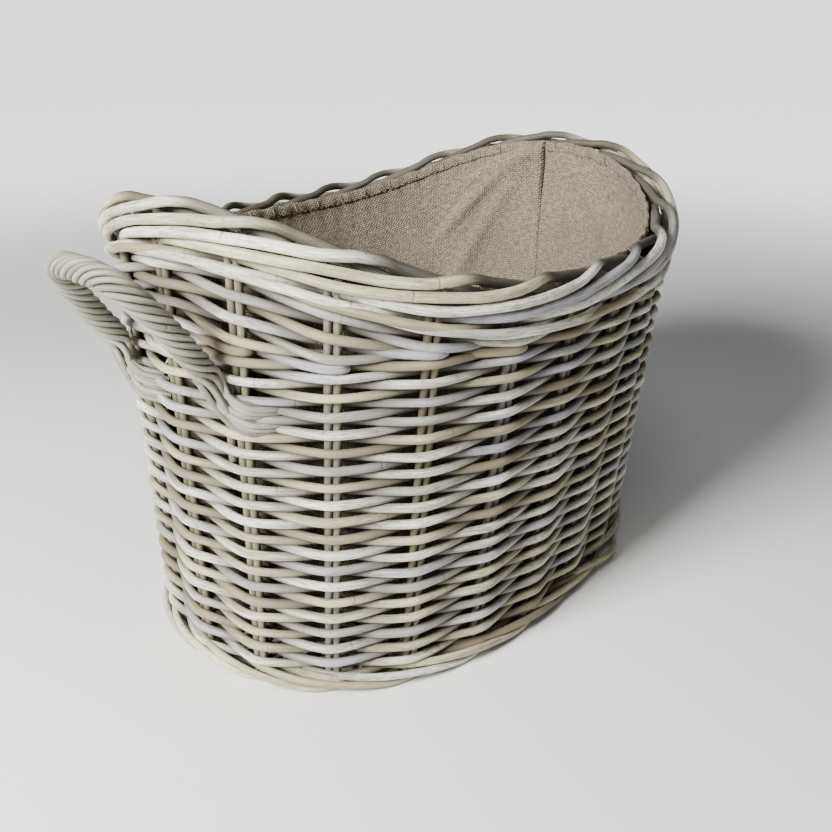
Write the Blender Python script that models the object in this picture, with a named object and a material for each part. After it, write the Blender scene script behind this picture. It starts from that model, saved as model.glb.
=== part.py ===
"""Wicker log basket: an oval, tapered rattan basket with a saddle rim, two rope handles and a sewn
cloth liner.  Metres, +Z up, origin at the middle of the underside, +X along the basket's length.

Every solid lies on one family of leaning ovals.  A place on the wall is given by a turn (a fraction
of the way round, from +X towards +Y), a height and a depth inwards from the weave's outer face.
"""
import math

import bmesh
import bpy
from mathutils import Matrix, Vector

# The oval
BASE_LENGTH = 0.586        # outside of the weave at the floor
BASE_WIDTH = 0.400
END_LEAN = 0.0373          # how far the short ends lean out, per metre of height
SIDE_LEAN = 0.1116         # how far the long sides lean out
OVAL_POWER = 2.32          # 2 is an ellipse, more is squarer
SIDE_HEIGHT = 0.368        # rim height at the middle of the long sides
END_HEIGHT = 0.4345        # rim height at the short ends
SADDLE_POWER = 3.37        # how late the rim starts to rise towards the ends

# Rods
WEAVER_DIAMETER = 0.0075
STAKE_DIAMETER = 0.0075
STAKE_BITE = 0.001         # how far the two rods of a pair press into each other
STAKE_COUNT = 22
STAKE_PHASE = 0.7336       # place of the first pair, in stake spacings from +X
STAKE_FOOT = 0.005         # height at which the stakes start, inside the foot border
STAKE_GRIP = 0.018         # how far the stakes reach up into the rim border
GAP = 0.0003               # clearance between pieces that touch
SLOPE_GAP = 0.001          # clearance between pieces that meet along the sloping rim
CHANNEL_GAP = 0.0004       # clearance of a rod in its channel

# Foot, wales and border
FOOT_HEIGHT = 0.020
FOOT_PROUD = 0.0035
FOOT_WALE_HEIGHT = 0.015
BORDER_HEIGHT = 0.039
BORDER_PROUD = 0.004
BORDER_INNER = 0.002       # how far the border stands in from the weave's inner face
RIM_WALE_HEIGHT = 0.014
WALE_PROUD = 0.0012
SIDING_SPLIT = 0.165       # height where the lower siding ends and the upper starts
PACKING_RISE = 0.002       # height of full rows above the lowest point of the rim wale
PACKING_TAPER = 0.003      # height at which a packed end thins out

# Base
BASE_UNDERSIDE = 0.004
BASE_STICK_COUNT = 9
BASE_STICK_DIAMETER = 0.008
BASE_STICK_SPACING = 0.052
BASE_STICK_GRIP = 0.005    # how far a stick's end reaches into the foot border

# Handles
HANDLE_ROPE_DIAMETER = 0.0225
HANDLE_BOW_DIAMETER = 0.009
HANDLE_FOOT_OFFSET = 0.0142     # from the middle of a stake pair to the middle of the bow beside it
HANDLE_FOOT_HEIGHT = 0.288
HANDLE_OUT = 0.0735
HANDLE_UP = 0.098
HANDLE_POWER = 3.6         # squareness of the loop
HANDLE_TAIL = 0.085        # length of bow pushed down into the weave
HANDLE_STRANDS = 8
HANDLE_STRAND_GROOVE = 0.0016
HANDLE_LAY = 0.075         # length of rope in which a strand goes once round
HANDLE_STATIONS = 28

# Liner
LINER_THICKNESS = 0.0016
LINER_CLEARANCE = 0.0015   # between the liner and the weave behind it
LINER_DROP = 0.012         # from the rim's top down to the liner's top edge
LINER_HEM_HEIGHT = 0.018
LINER_HEM_THICKNESS = 0.0034
LINER_SEAM_TURN = 0.006    # place of the first of two opposite seams
LINER_SEAM_GAP = 0.0008

STATIONS_PER_STAKE = 3
WALL = WEAVER_DIAMETER * 2 + STAKE_DIAMETER
STAKE_DEPTH = WALL / 2
BORDER_DEPTH = WALL + BORDER_INNER
STATIONS = STAKE_COUNT * STATIONS_PER_STAKE
SIDING_BOTTOM = FOOT_HEIGHT + FOOT_WALE_HEIGHT
PACKING_LEVEL = SIDE_HEIGHT - BORDER_HEIGHT - RIM_WALE_HEIGHT + PACKING_RISE
LINER_DEPTH = BORDER_DEPTH + LINER_CLEARANCE
BASE_TOP = FOOT_HEIGHT

COLOURS = {
    "grey_rod": (0.47, 0.45, 0.43),
    "pale_rod": (0.62, 0.59, 0.53),
    "blue_grey_rod": (0.46, 0.46, 0.52),
    "brown_rod": (0.33, 0.27, 0.21),
    "hessian": (0.40, 0.34, 0.26),
}


# Places on the basket

def oval(angle):
    """Point of the unit oval at a parametric angle."""
    c = math.cos(angle)
    s = math.sin(angle)
    power = 2 / OVAL_POWER
    return math.copysign(abs(c) ** power, c), math.copysign(abs(s) ** power, s)


def lengths_round_oval(steps):
    """Running length round the basket at mid height, for equal steps of angle."""
    mid = SIDE_HEIGHT / 2
    half_length = BASE_LENGTH / 2 + END_LEAN * mid
    half_width = BASE_WIDTH / 2 + SIDE_LEAN * mid
    lengths = [0.0]
    last = None
    for step in range(steps + 1):
        x, y = oval(2 * math.pi * step / steps)
        here = Vector((x * half_length, y * half_width))
        if last is not None:
            lengths.append(lengths[-1] + (here - last).length)
        last = here
    return lengths


OVAL_STEPS = 1440
OVAL_LENGTHS = lengths_round_oval(OVAL_STEPS)
GIRTH = OVAL_LENGTHS[-1]


def angle_at(turn):
    """Parametric angle that lies a given fraction of the girth round from +X."""
    target = (turn % 1.0) * GIRTH
    low = 0
    high = OVAL_STEPS
    while high - low > 1:
        middle = (low + high) // 2
        if OVAL_LENGTHS[middle] <= target:
            low = middle
        else:
            high = middle
    part = (target - OVAL_LENGTHS[low]) / (OVAL_LENGTHS[high] - OVAL_LENGTHS[low])
    return 2 * math.pi * (low + part) / OVAL_STEPS


def wall_point(turn, height, depth=0.0):
    x, y = oval(angle_at(turn))
    half_length = BASE_LENGTH / 2 + END_LEAN * height - depth
    half_width = BASE_WIDTH / 2 + SIDE_LEAN * height - depth
    return Vector((x * half_length, y * half_width, height))


def rim_height(turn):
    x, _ = oval(angle_at(turn))
    return SIDE_HEIGHT + (END_HEIGHT - SIDE_HEIGHT) * abs(x) ** SADDLE_POWER


def stake_turn(index):
    return (index + STAKE_PHASE) / STAKE_COUNT


def station_turns():
    """Turns of the sections that the rings are lofted through, one of them on every stake pair."""
    first = stake_turn(0)
    return [first + step / STATIONS for step in range(STATIONS)]


# Making objects

def clear_scene():
    for item in list(bpy.data.objects):
        bpy.data.objects.remove(item, do_unlink=True)


def new_collection(name):
    collection = bpy.data.collections.new(name)
    bpy.context.scene.collection.children.link(collection)
    return collection


def rod_material(name, colour, roughness):
    material = bpy.data.materials.new(name)
    material.use_nodes = True
    shader = material.node_tree.nodes["Principled BSDF"]
    shader.inputs["Base Color"].default_value = (*colour, 1.0)
    shader.inputs["Roughness"].default_value = roughness
    shader.inputs["Metallic"].default_value = 0.0
    return material


def add_piece(name, data, collection, finish, parent):
    """Put mesh or curve data into the scene as one named piece with its own material."""
    piece = bpy.data.objects.new(name, data)
    collection.objects.link(piece)
    roughness = 0.9 if finish == "hessian" else 0.6
    data.materials.append(rod_material(name, COLOURS[finish], roughness))
    piece.parent = parent
    return piece


def loft(name, sections, cyclic):
    """Mesh through a row of sections, each a loop of points; open rows get end faces."""
    bm = bmesh.new()
    rings = [[bm.verts.new(point) for point in section] for section in sections]
    count = len(rings[0])
    joins = len(rings) if cyclic else len(rings) - 1
    for i in range(joins):
        here = rings[i]
        after = rings[(i + 1) % len(rings)]
        for k in range(count):
            m = (k + 1) % count
            bm.faces.new((here[k], after[k], after[m], here[m]))
    if not cyclic:
        bm.faces.new(rings[0])
        bm.faces.new(list(reversed(rings[-1])))
    bmesh.ops.recalc_face_normals(bm, faces=bm.faces)
    mesh = bpy.data.meshes.new(name)
    bm.to_mesh(mesh)
    bm.free()
    mesh.shade_smooth()
    mesh.set_sharp_from_angle(angle=math.radians(35))
    return mesh


def tube_curve(name, points, diameter, resolution):
    curve = bpy.data.curves.new(name, "CURVE")
    curve.dimensions = "3D"
    curve.bevel_depth = diameter / 2
    curve.bevel_resolution = resolution
    curve.use_fill_caps = True
    spline = curve.splines.new("POLY")
    spline.points.add(len(points) - 1)
    for slot, point in zip(spline.points, points):
        slot.co = (*point, 1.0)
    return curve


def tube_mesh(name, points, diameter, resolution):
    """A closed mesh tube: the curve's loose caps are welded on."""
    curve = tube_curve(name + "_route", points, diameter, resolution)
    route = bpy.data.objects.new(name + "_route", curve)
    bpy.context.scene.collection.objects.link(route)
    bpy.context.view_layer.update()
    evaluated = route.evaluated_get(bpy.context.evaluated_depsgraph_get())
    mesh = bpy.data.meshes.new_from_object(evaluated)
    mesh.name = name
    bpy.data.objects.remove(route, do_unlink=True)
    bm = bmesh.new()
    bm.from_mesh(mesh)
    bmesh.ops.remove_doubles(bm, verts=bm.verts, dist=0.00001)
    bmesh.ops.recalc_face_normals(bm, faces=bm.faces)
    bm.to_mesh(mesh)
    bm.free()
    return mesh


def add_cutter(name, data, collection):
    cutter = bpy.data.objects.new(name, data)
    collection.objects.link(cutter)
    cutter.hide_render = True
    cutter.display_type = "WIRE"
    return cutter


def boolean(piece, other, operation):
    step = piece.modifiers.new(operation.lower(), "BOOLEAN")
    step.operation = operation
    step.solver = "EXACT"
    if isinstance(other, bpy.types.Collection):
        step.operand_type = "COLLECTION"
        step.collection = other
    else:
        step.object = other


# Rings of weave

def wall_section(turn, outline):
    """Outline of (depth, height) pairs set into the wall at one turn."""
    return [wall_point(turn, height, depth) for depth, height in outline]


def band(low, high, proud=0.0, depth=WALL):
    return [(-proud, low), (-proud, high), (depth, high), (depth, low)]


def rounded_band(low, high, proud, depth, round_by):
    """A band whose four edges are cut back."""
    return [
        (-proud, low + round_by), (-proud, high - round_by), (round_by - proud, high),
        (depth - round_by, high), (depth, high - round_by), (depth, low + round_by),
        (depth - round_by, low), (round_by - proud, low),
    ]


def ring(name, outline_at, turns, cyclic=True):
    return loft(name, [wall_section(turn, outline_at(turn)) for turn in turns], cyclic)


def wale_bottom(turn):
    return rim_height(turn) - BORDER_HEIGHT - RIM_WALE_HEIGHT


def foot_border_outline(turn):
    return rounded_band(0.0, FOOT_HEIGHT, FOOT_PROUD, WALL, 0.005)


def foot_wale_outline(turn):
    return band(FOOT_HEIGHT + GAP, SIDING_BOTTOM, WALE_PROUD)


def siding_lower_outline(turn):
    return band(SIDING_BOTTOM + GAP, SIDING_SPLIT)


def siding_upper_outline(turn):
    top = min(PACKING_LEVEL, wale_bottom(turn) - SLOPE_GAP)
    return band(SIDING_SPLIT + GAP, top)


def packing_outline(turn):
    return band(PACKING_LEVEL + GAP, wale_bottom(turn) - SLOPE_GAP)


def rim_wale_outline(turn):
    return band(wale_bottom(turn), rim_height(turn) - BORDER_HEIGHT - SLOPE_GAP, WALE_PROUD)


def rim_border_outline(turn):
    top = rim_height(turn)
    return rounded_band(top - BORDER_HEIGHT, top, BORDER_PROUD, BORDER_DEPTH, 0.008)


def packing_turns(middle):
    """Stations at one raised end where the short packing rows are more than a sliver high."""
    near = []
    for lap in (-1, 0):
        near.extend(turn + lap for turn in station_turns() if abs(turn + lap - middle) < 0.25)
    return [turn for turn in sorted(near) if wale_bottom(turn) - PACKING_LEVEL > PACKING_TAPER]


# Rods

def stake_ends(index):
    turn = stake_turn(index)
    top = rim_height(turn) - BORDER_HEIGHT + STAKE_GRIP
    return wall_point(turn, STAKE_FOOT, STAKE_DEPTH), wall_point(turn, top, STAKE_DEPTH)


def stake_side(index):
    """Direction along the wall at a stake pair."""
    turn = stake_turn(index)
    step = 0.002
    after = wall_point(turn + step, STAKE_FOOT, STAKE_DEPTH)
    before = wall_point(turn - step, STAKE_FOOT, STAKE_DEPTH)
    return (after - before).normalized()


def stake_pair(index, collection, cutters, parent):
    name = f"stake_pair_{index + 1:02d}"
    foot, top = stake_ends(index)
    side = stake_side(index)
    shift = side * (STAKE_DIAMETER - STAKE_BITE) / 2
    first = tube_mesh(name, [foot - shift, top - shift], STAKE_DIAMETER, 2)
    second = tube_mesh(name + "_mate", [foot + shift, top + shift], STAKE_DIAMETER, 2)
    finish = ("grey_rod", "pale_rod", "blue_grey_rod")[index % 3]
    pair = add_piece(name, first, collection, finish, parent)
    boolean(pair, add_cutter(name + "_mate", second, cutters), "UNION")
    return pair


def stake_channel(index, channels):
    """Straight channel of oblong section that a stake pair slides into."""
    foot, top = stake_ends(index)
    side = stake_side(index)
    up = (top - foot).normalized()
    out = side.cross(up).normalized()
    half_side = STAKE_DIAMETER - STAKE_BITE / 2 + CHANNEL_GAP
    half_out = STAKE_DIAMETER / 2 + CHANNEL_GAP
    sections = []
    for centre in (foot - up * CHANNEL_GAP, top + up * CHANNEL_GAP):
        corners = []
        for a, b in ((-1, -1), (1, -1), (1, 1), (-1, 1)):
            corners.append(centre + side * half_side * a + out * half_out * b)
        sections.append(corners)
    add_cutter(f"stake_channel_{index + 1:02d}", loft("stake_channel", sections, False), channels)


# Base

def oval_half_width(x, half_length, half_width):
    return half_width * (1 - abs(x / half_length) ** OVAL_POWER) ** (1 / OVAL_POWER)


def base_stick_points(index, extra):
    """The two ends of a cross stick, which reaches into the foot border on both sides."""
    height = (BASE_UNDERSIDE + BASE_TOP) / 2
    x = (index - (BASE_STICK_COUNT - 1) / 2) * BASE_STICK_SPACING
    half_length = BASE_LENGTH / 2 + END_LEAN * height - WALL
    half_width = BASE_WIDTH / 2 + SIDE_LEAN * height - WALL
    reach = oval_half_width(x, half_length, half_width) + BASE_STICK_GRIP + extra
    return [Vector((x, -reach, height)), Vector((x, reach, height))]


def base_weave_mesh():
    """Flat woven plate, an extruded outline just inside the foot border."""
    outline = bpy.data.curves.new("base_outline", "CURVE")
    outline.dimensions = "2D"
    outline.fill_mode = "BOTH"
    outline.extrude = (BASE_TOP - BASE_UNDERSIDE) / 2
    spline = outline.splines.new("POLY")
    turns = station_turns()
    spline.points.add(len(turns) - 1)
    spline.use_cyclic_u = True
    for slot, turn in zip(spline.points, turns):
        edge = wall_point(turn, 0.0, WALL + GAP)
        slot.co = (edge.x, edge.y, 0.0, 1.0)
    holder = bpy.data.objects.new("base_outline", outline)
    holder.location.z = (BASE_TOP + BASE_UNDERSIDE) / 2
    bpy.context.scene.collection.objects.link(holder)
    bpy.context.view_layer.update()
    mesh = bpy.data.meshes.new_from_object(holder.evaluated_get(bpy.context.evaluated_depsgraph_get()))
    mesh.name = "base_weave"
    mesh.transform(holder.matrix_world)
    bpy.data.objects.remove(holder, do_unlink=True)
    bm = bmesh.new()
    bm.from_mesh(mesh)
    bmesh.ops.remove_doubles(bm, verts=bm.verts, dist=0.00001)
    bmesh.ops.recalc_face_normals(bm, faces=bm.faces)
    bm.to_mesh(mesh)
    bm.free()
    return mesh


# Handles

def smoothed(points, rounds):
    """Corners cut a few times, ends kept."""
    for _ in range(rounds):
        cut = [points[0]]
        for a, b in zip(points[:-1], points[1:]):
            cut.append(a * 0.75 + b * 0.25)
            cut.append(a * 0.25 + b * 0.75)
        cut.append(points[-1])
        points = cut
    return points


def spaced(points, count):
    """The same line with points at equal distances."""
    lengths = [0.0]
    for a, b in zip(points[:-1], points[1:]):
        lengths.append(lengths[-1] + (b - a).length)
    result = []
    k = 0
    for step in range(count):
        target = lengths[-1] * step / (count - 1)
        while k < len(points) - 2 and lengths[k + 1] < target:
            k += 1
        part = (target - lengths[k]) / (lengths[k + 1] - lengths[k])
        result.append(points[k].lerp(points[k + 1], part))
    return result


def left_stake():
    """Index of the stake pair nearest to the middle of the -X end."""
    return min(range(STAKE_COUNT), key=lambda index: abs(stake_turn(index) - 0.5))


def handle_feet():
    """Turns of the handle's two feet, each just inside the stake pair it is pushed down beside."""
    middle = left_stake()
    offset = HANDLE_FOOT_OFFSET / GIRTH
    return stake_turn(middle - 1) + offset, stake_turn(middle + 1) - offset


def handle_loop(steps):
    """Centre line of the loop at the -X end, from the weave's outer face and back to it."""
    foot_a, foot_b = handle_feet()
    start = wall_point(foot_a, HANDLE_FOOT_HEIGHT)
    end = wall_point(foot_b, HANDLE_FOOT_HEIGHT)
    power = 2 / HANDLE_POWER
    points = []
    for step in range(steps + 1):
        phase = math.pi * step / steps
        rise = math.sin(phase) ** power
        across = math.copysign(abs(math.cos(phase)) ** power, math.cos(phase))
        base = start.lerp(end, (1 - across) / 2)
        points.append(base + Vector((-HANDLE_OUT * rise, 0.0, HANDLE_UP * rise)))
    return points


def handle_bow_line():
    """The bow: down in the weave beside a stake, out, round the loop and back in."""
    foot_a, foot_b = handle_feet()
    low = HANDLE_FOOT_HEIGHT - HANDLE_TAIL
    bend = HANDLE_FOOT_HEIGHT - 0.016
    loop = handle_loop(40)[2:-2]
    line = [wall_point(foot_a, low, STAKE_DEPTH), wall_point(foot_a, bend - 0.02, STAKE_DEPTH)]
    line.append(wall_point(foot_a, bend, STAKE_DEPTH))
    line.extend(loop)
    line.append(wall_point(foot_b, bend, STAKE_DEPTH))
    line.append(wall_point(foot_b, bend - 0.02, STAKE_DEPTH))
    line.append(wall_point(foot_b, low, STAKE_DEPTH))
    return spaced(smoothed(line, 2), HANDLE_STATIONS + 8)


def outside_stretch(line, clearance):
    """The part of a line that lies outside the weave by at least a clearance."""
    kept = []
    for point in line:
        half_length = BASE_LENGTH / 2 + END_LEAN * point.z
        half_width = BASE_WIDTH / 2 + SIDE_LEAN * point.z
        across = min(abs(point.y) / half_width, 1.0)
        face = half_length * (1 - across ** OVAL_POWER) ** (1 / OVAL_POWER)
        if -point.x > face + clearance:
            kept.append(point)
    return kept


def frames_along(line):
    """Direction and two cross directions at each point, carried along without spinning."""
    cross = Vector((0.0, 0.0, 1.0))
    frames = []
    for k, point in enumerate(line):
        before = line[max(k - 1, 0)]
        after = line[min(k + 1, len(line) - 1)]
        ahead = (after - before).normalized()
        cross = (cross - ahead * cross.dot(ahead)).normalized()
        frames.append((point, cross, ahead.cross(cross)))
    return frames


def handle_wrap_mesh(name, turn_about):
    """Twisted rope laid round the bow: a lobed section that turns as it goes."""
    line = outside_stretch(handle_bow_line(), HANDLE_ROPE_DIAMETER / 2)
    line = spaced(line, HANDLE_STATIONS)
    length = sum((b - a).length for a, b in zip(line[:-1], line[1:]))
    sections = []
    for k, (point, right, up) in enumerate(frames_along(line)):
        spin = -2 * math.pi * (length * k / (len(line) - 1)) / HANDLE_LAY
        loop = []
        for corner in range(HANDLE_STRANDS * 2):
            radius = HANDLE_ROPE_DIAMETER / 2
            if corner % 2:
                radius -= HANDLE_STRAND_GROOVE
            angle = math.pi * corner / HANDLE_STRANDS + spin
            loop.append(point + right * radius * math.cos(angle) + up * radius * math.sin(angle))
        sections.append(loop)
    mesh = loft(name, sections, False)
    mesh.transform(turn_about)
    return mesh


def handle(side, turn_about, collection, cutters, parent):
    """Bow and wrap of one handle, and the channel that the bow takes through the wrap and the weave."""
    line = [turn_about @ point for point in handle_bow_line()]
    bow = tube_mesh(f"handle_{side}_bow", line, HANDLE_BOW_DIAMETER, 1)
    add_piece(bow.name, bow, collection, "brown_rod", parent)
    channel_mesh = tube_mesh(f"handle_{side}_channel", extended(line, CHANNEL_GAP),
                             HANDLE_BOW_DIAMETER + 2 * CHANNEL_GAP, 1)
    channel = add_cutter(f"handle_{side}_channel", channel_mesh, cutters)
    wrap = add_piece(f"handle_{side}_wrap", handle_wrap_mesh(f"handle_{side}_wrap", turn_about),
                     collection, "grey_rod", parent)
    boolean(wrap, channel, "DIFFERENCE")
    return channel


def extended(line, extra):
    """A line made longer at both ends."""
    first = line[0] + (line[0] - line[1]).normalized() * extra
    last = line[-1] + (line[-1] - line[-2]).normalized() * extra
    return [first] + line[1:-1] + [last]


# Liner

def liner_panel_turns(first, last):
    """Turns of one wall panel, from seam to seam, through the stations between them."""
    seam = LINER_SEAM_GAP / 2 / GIRTH
    start = first + seam
    end = last - seam
    between = []
    for lap in (0, 1):
        between.extend(turn + lap for turn in station_turns() if start < turn + lap < end)
    margin = 0.25 / STATIONS
    inner = [turn for turn in sorted(between) if start + margin < turn < end - margin]
    return [start] + inner + [end]


def liner_top(turn):
    return rim_height(turn) - LINER_DROP


def liner_panel_outline(turn):
    low = BASE_TOP + LINER_CLEARANCE + LINER_THICKNESS + GAP
    high = liner_top(turn) - LINER_HEM_HEIGHT - GAP
    return [(LINER_DEPTH, low), (LINER_DEPTH, high),
            (LINER_DEPTH + LINER_THICKNESS, high), (LINER_DEPTH + LINER_THICKNESS, low)]


def liner_hem_outline(turn):
    high = liner_top(turn)
    low = high - LINER_HEM_HEIGHT
    return [(LINER_DEPTH, low), (LINER_DEPTH, high),
            (LINER_DEPTH + LINER_HEM_THICKNESS, high), (LINER_DEPTH + LINER_HEM_THICKNESS, low)]


def liner_base_mesh():
    """Flat oval of cloth that closes the bag at the bottom."""
    low = BASE_TOP + LINER_CLEARANCE
    sections = []
    for height in (low, low + LINER_THICKNESS):
        sections.append([wall_point(turn, height, LINER_DEPTH) for turn in station_turns()])
    return loft("liner_base_panel", sections, False)


def main():
    clear_scene()
    parts = new_collection("wicker_log_basket")
    cutters = new_collection("cutters")
    channels = new_collection("stake_channels")
    stick_channels = new_collection("base_stick_channels")
    basket = bpy.data.objects.new("basket_origin", None)
    parts.objects.link(basket)

    for index in range(STAKE_COUNT):
        stake_pair(index, parts, cutters, basket)
        stake_channel(index, channels)

    turns = station_turns()
    rings = {
        "foot_border": (foot_border_outline, "pale_rod"),
        "foot_wale": (foot_wale_outline, "grey_rod"),
        "siding_weave_lower": (siding_lower_outline, "grey_rod"),
        "siding_weave_upper": (siding_upper_outline, "pale_rod"),
        "rim_wale": (rim_wale_outline, "blue_grey_rod"),
        "rim_border": (rim_border_outline, "pale_rod"),
    }
    woven = {}
    for name, (outline, finish) in rings.items():
        woven[name] = add_piece(name, ring(name, outline, turns), parts, finish, basket)
    for side, middle in (("left", 0.5), ("right", 0.0)):
        name = f"end_packing_{side}"
        mesh = ring(name, packing_outline, packing_turns(middle), cyclic=False)
        woven[name] = add_piece(name, mesh, parts, "blue_grey_rod", basket)
    for piece in woven.values():
        boolean(piece, channels, "DIFFERENCE")

    for index in range(BASE_STICK_COUNT):
        name = f"base_stick_{index + 1}"
        stick = tube_mesh(name, base_stick_points(index, 0.0), BASE_STICK_DIAMETER, 1)
        add_piece(name, stick, parts, "brown_rod", basket)
        hole = tube_mesh(name + "_channel", base_stick_points(index, CHANNEL_GAP),
                         BASE_STICK_DIAMETER + 2 * CHANNEL_GAP, 1)
        add_cutter(name + "_channel", hole, stick_channels)
    base_weave = add_piece("base_weave", base_weave_mesh(), parts, "grey_rod", basket)
    boolean(base_weave, stick_channels, "DIFFERENCE")
    boolean(woven["foot_border"], stick_channels, "DIFFERENCE")

    for side, angle in (("left", 0.0), ("right", math.pi)):
        turn_about = Matrix.Rotation(angle, 4, "Z")
        channel = handle(side, turn_about, parts, cutters, basket)
        boolean(woven["siding_weave_upper"], channel, "DIFFERENCE")

    seams = (LINER_SEAM_TURN, LINER_SEAM_TURN + 0.5, LINER_SEAM_TURN + 1.0)
    for name, first, last in (("liner_back_panel", seams[0], seams[1]),
                              ("liner_front_panel", seams[1], seams[2])):
        mesh = ring(name, liner_panel_outline, liner_panel_turns(first, last), cyclic=False)
        add_piece(name, mesh, parts, "hessian", basket)
    add_piece("liner_base_panel", liner_base_mesh(), parts, "hessian", basket)
    add_piece("liner_hem", ring("liner_hem", liner_hem_outline, turns), parts, "hessian", basket)


main()
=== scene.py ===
"""Wicker log basket: the woven rods, plaited border, rope handles and sewn hessian liner, made round
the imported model.  Metres, +Z up, +X along the basket.

A place on the wall is a turn (a fraction of the way round, from +X towards +Y), a height, and a depth
inwards from the weave's outer face.  Along the wall, s counts stake spacings, so that a whole s is a
stake pair.
"""
import math
import random

import bpy
import numpy as np
from bpy.props import FloatProperty, FloatVectorProperty, IntProperty, PointerProperty
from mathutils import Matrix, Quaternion, Vector


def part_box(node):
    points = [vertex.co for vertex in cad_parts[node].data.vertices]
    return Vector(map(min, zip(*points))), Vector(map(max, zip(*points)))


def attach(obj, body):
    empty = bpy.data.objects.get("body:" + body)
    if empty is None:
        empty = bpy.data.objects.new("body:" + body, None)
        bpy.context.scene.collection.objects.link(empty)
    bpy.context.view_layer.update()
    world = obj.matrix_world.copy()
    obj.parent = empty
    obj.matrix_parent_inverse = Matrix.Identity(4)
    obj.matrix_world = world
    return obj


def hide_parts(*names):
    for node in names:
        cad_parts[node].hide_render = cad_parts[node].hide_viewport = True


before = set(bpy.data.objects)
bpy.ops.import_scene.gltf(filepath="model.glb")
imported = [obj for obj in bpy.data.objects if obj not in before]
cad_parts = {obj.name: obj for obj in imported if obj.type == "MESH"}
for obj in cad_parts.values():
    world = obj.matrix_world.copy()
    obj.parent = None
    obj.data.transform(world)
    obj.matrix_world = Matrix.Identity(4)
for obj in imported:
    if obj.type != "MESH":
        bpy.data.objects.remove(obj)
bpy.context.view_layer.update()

bl_info = {
    "name": "Wicker log basket",
    "version": (1, 0, 0),
    "blender": (4, 5, 0),
    "location": "3D View > Sidebar > Basket",
    "description": "Weaves a rattan log basket with rope handles and a hessian liner",
    "category": "Add Mesh",
}

STAKE_NODES = sorted(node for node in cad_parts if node.startswith("stake_pair"))
STICK_NODES = sorted(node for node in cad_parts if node.startswith("base_stick"))

# The oval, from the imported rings
OVAL_POWER = 2.32             # 2 is an ellipse, more is squarer
SADDLE_POWER = 3.37           # how late the rim starts to rise towards each end
STAKE_COUNT = len(STAKE_NODES)
STAKE_PHASE = 0.7336          # stake spacings from +X to the first pair
WALE_PROUD = 0.0012           # how far the wales stand out of the siding
SLOPE_GAP = 0.001             # between the rim border and its wale
FOOT_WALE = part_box("foot_wale")
RIM_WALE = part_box("rim_wale")
RIM_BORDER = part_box("rim_border")
SIDE_WALE_TOP = RIM_BORDER[0].z - SLOPE_GAP
END_LEAN = (RIM_WALE[1].x - FOOT_WALE[1].x) / (RIM_WALE[1].z - FOOT_WALE[1].z)
SIDE_LEAN = (RIM_WALE[1].y - FOOT_WALE[1].y) / (SIDE_WALE_TOP - FOOT_WALE[1].z)
HALF_LENGTH = FOOT_WALE[1].x - WALE_PROUD - END_LEAN * FOOT_WALE[1].z
HALF_WIDTH = FOOT_WALE[1].y - WALE_PROUD - SIDE_LEAN * FOOT_WALE[1].z
END_HEIGHT = RIM_BORDER[1].z
BORDER_HEIGHT = END_HEIGHT - RIM_WALE[1].z - SLOPE_GAP
SIDE_HEIGHT = RIM_BORDER[0].z + BORDER_HEIGHT
WALE_HEIGHT = SIDE_WALE_TOP - RIM_WALE[0].z
LEVEL_TOP = RIM_WALE[0].z

# The weave
STAKE_ROD = 0.0075
WALL = 0.0225                 # from the siding's outer face to its inner face
STAKE_DEPTH = WALL / 2
BORDER_DEPTH = WALL + 0.002
OVAL_STEPS = 1440
BEND_SHARPNESS = 0.982        # 1 bends a rod to a point at each stake, 0 waves it like a sine
SEAM_TURN = 0.006             # turn from +X to the liner's first upright seam
# Stake tones kept to the darker greys and tans: partly the stakes' own colour, partly painted shade for
# their place deep in the weave.
STAKE_TONES = (0.20, 0.25, 0.76, 0.82, 0.90)


# Places on the basket

def oval(angle):
    """Points of the unit oval at parametric angles."""
    c = np.cos(angle)
    s = np.sin(angle)
    power = 2 / OVAL_POWER
    return np.sign(c) * abs(c) ** power, np.sign(s) * abs(s) ** power


def oval_lengths():
    """Lengths round the wall at mid height, at ANGLES."""
    mid = SIDE_HEIGHT / 2
    x, y = oval(ANGLES)
    line = np.stack([x * (HALF_LENGTH + END_LEAN * mid), y * (HALF_WIDTH + SIDE_LEAN * mid)], -1)
    return np.concatenate([[0.0], np.cumsum(np.linalg.norm(np.diff(line, axis=0), axis=1))])


ANGLES = np.linspace(0.0, 2 * math.pi, OVAL_STEPS + 1)
LENGTHS = oval_lengths()
GIRTH = LENGTHS[-1]
SPACING = GIRTH / STAKE_COUNT


def unit_point(s):
    """Unit oval point at places counted in stake spacings."""
    turn = (np.asarray(s, float) + STAKE_PHASE) / STAKE_COUNT
    return oval(np.interp((turn % 1.0) * GIRTH, LENGTHS, ANGLES))


def wall(s, height, depth):
    """Points of the wall at places s, heights and depths."""
    x, y = unit_point(s)
    length = HALF_LENGTH + END_LEAN * height - depth
    width = HALF_WIDTH + SIDE_LEAN * height - depth
    return np.stack([x * length, y * width, height + 0 * x], -1)


def rim_height(s):
    x, _ = unit_point(s)
    return SIDE_HEIGHT + (END_HEIGHT - SIDE_HEIGHT) * abs(x) ** SADDLE_POWER


def wale_bottom(s):
    return rim_height(s) - BORDER_HEIGHT - WALE_HEIGHT


def s_at_turn(turn):
    return turn * STAKE_COUNT - STAKE_PHASE


def ease(t):
    t = np.clip(t, 0.0, 1.0)
    return t * t * (3 - 2 * t)


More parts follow.
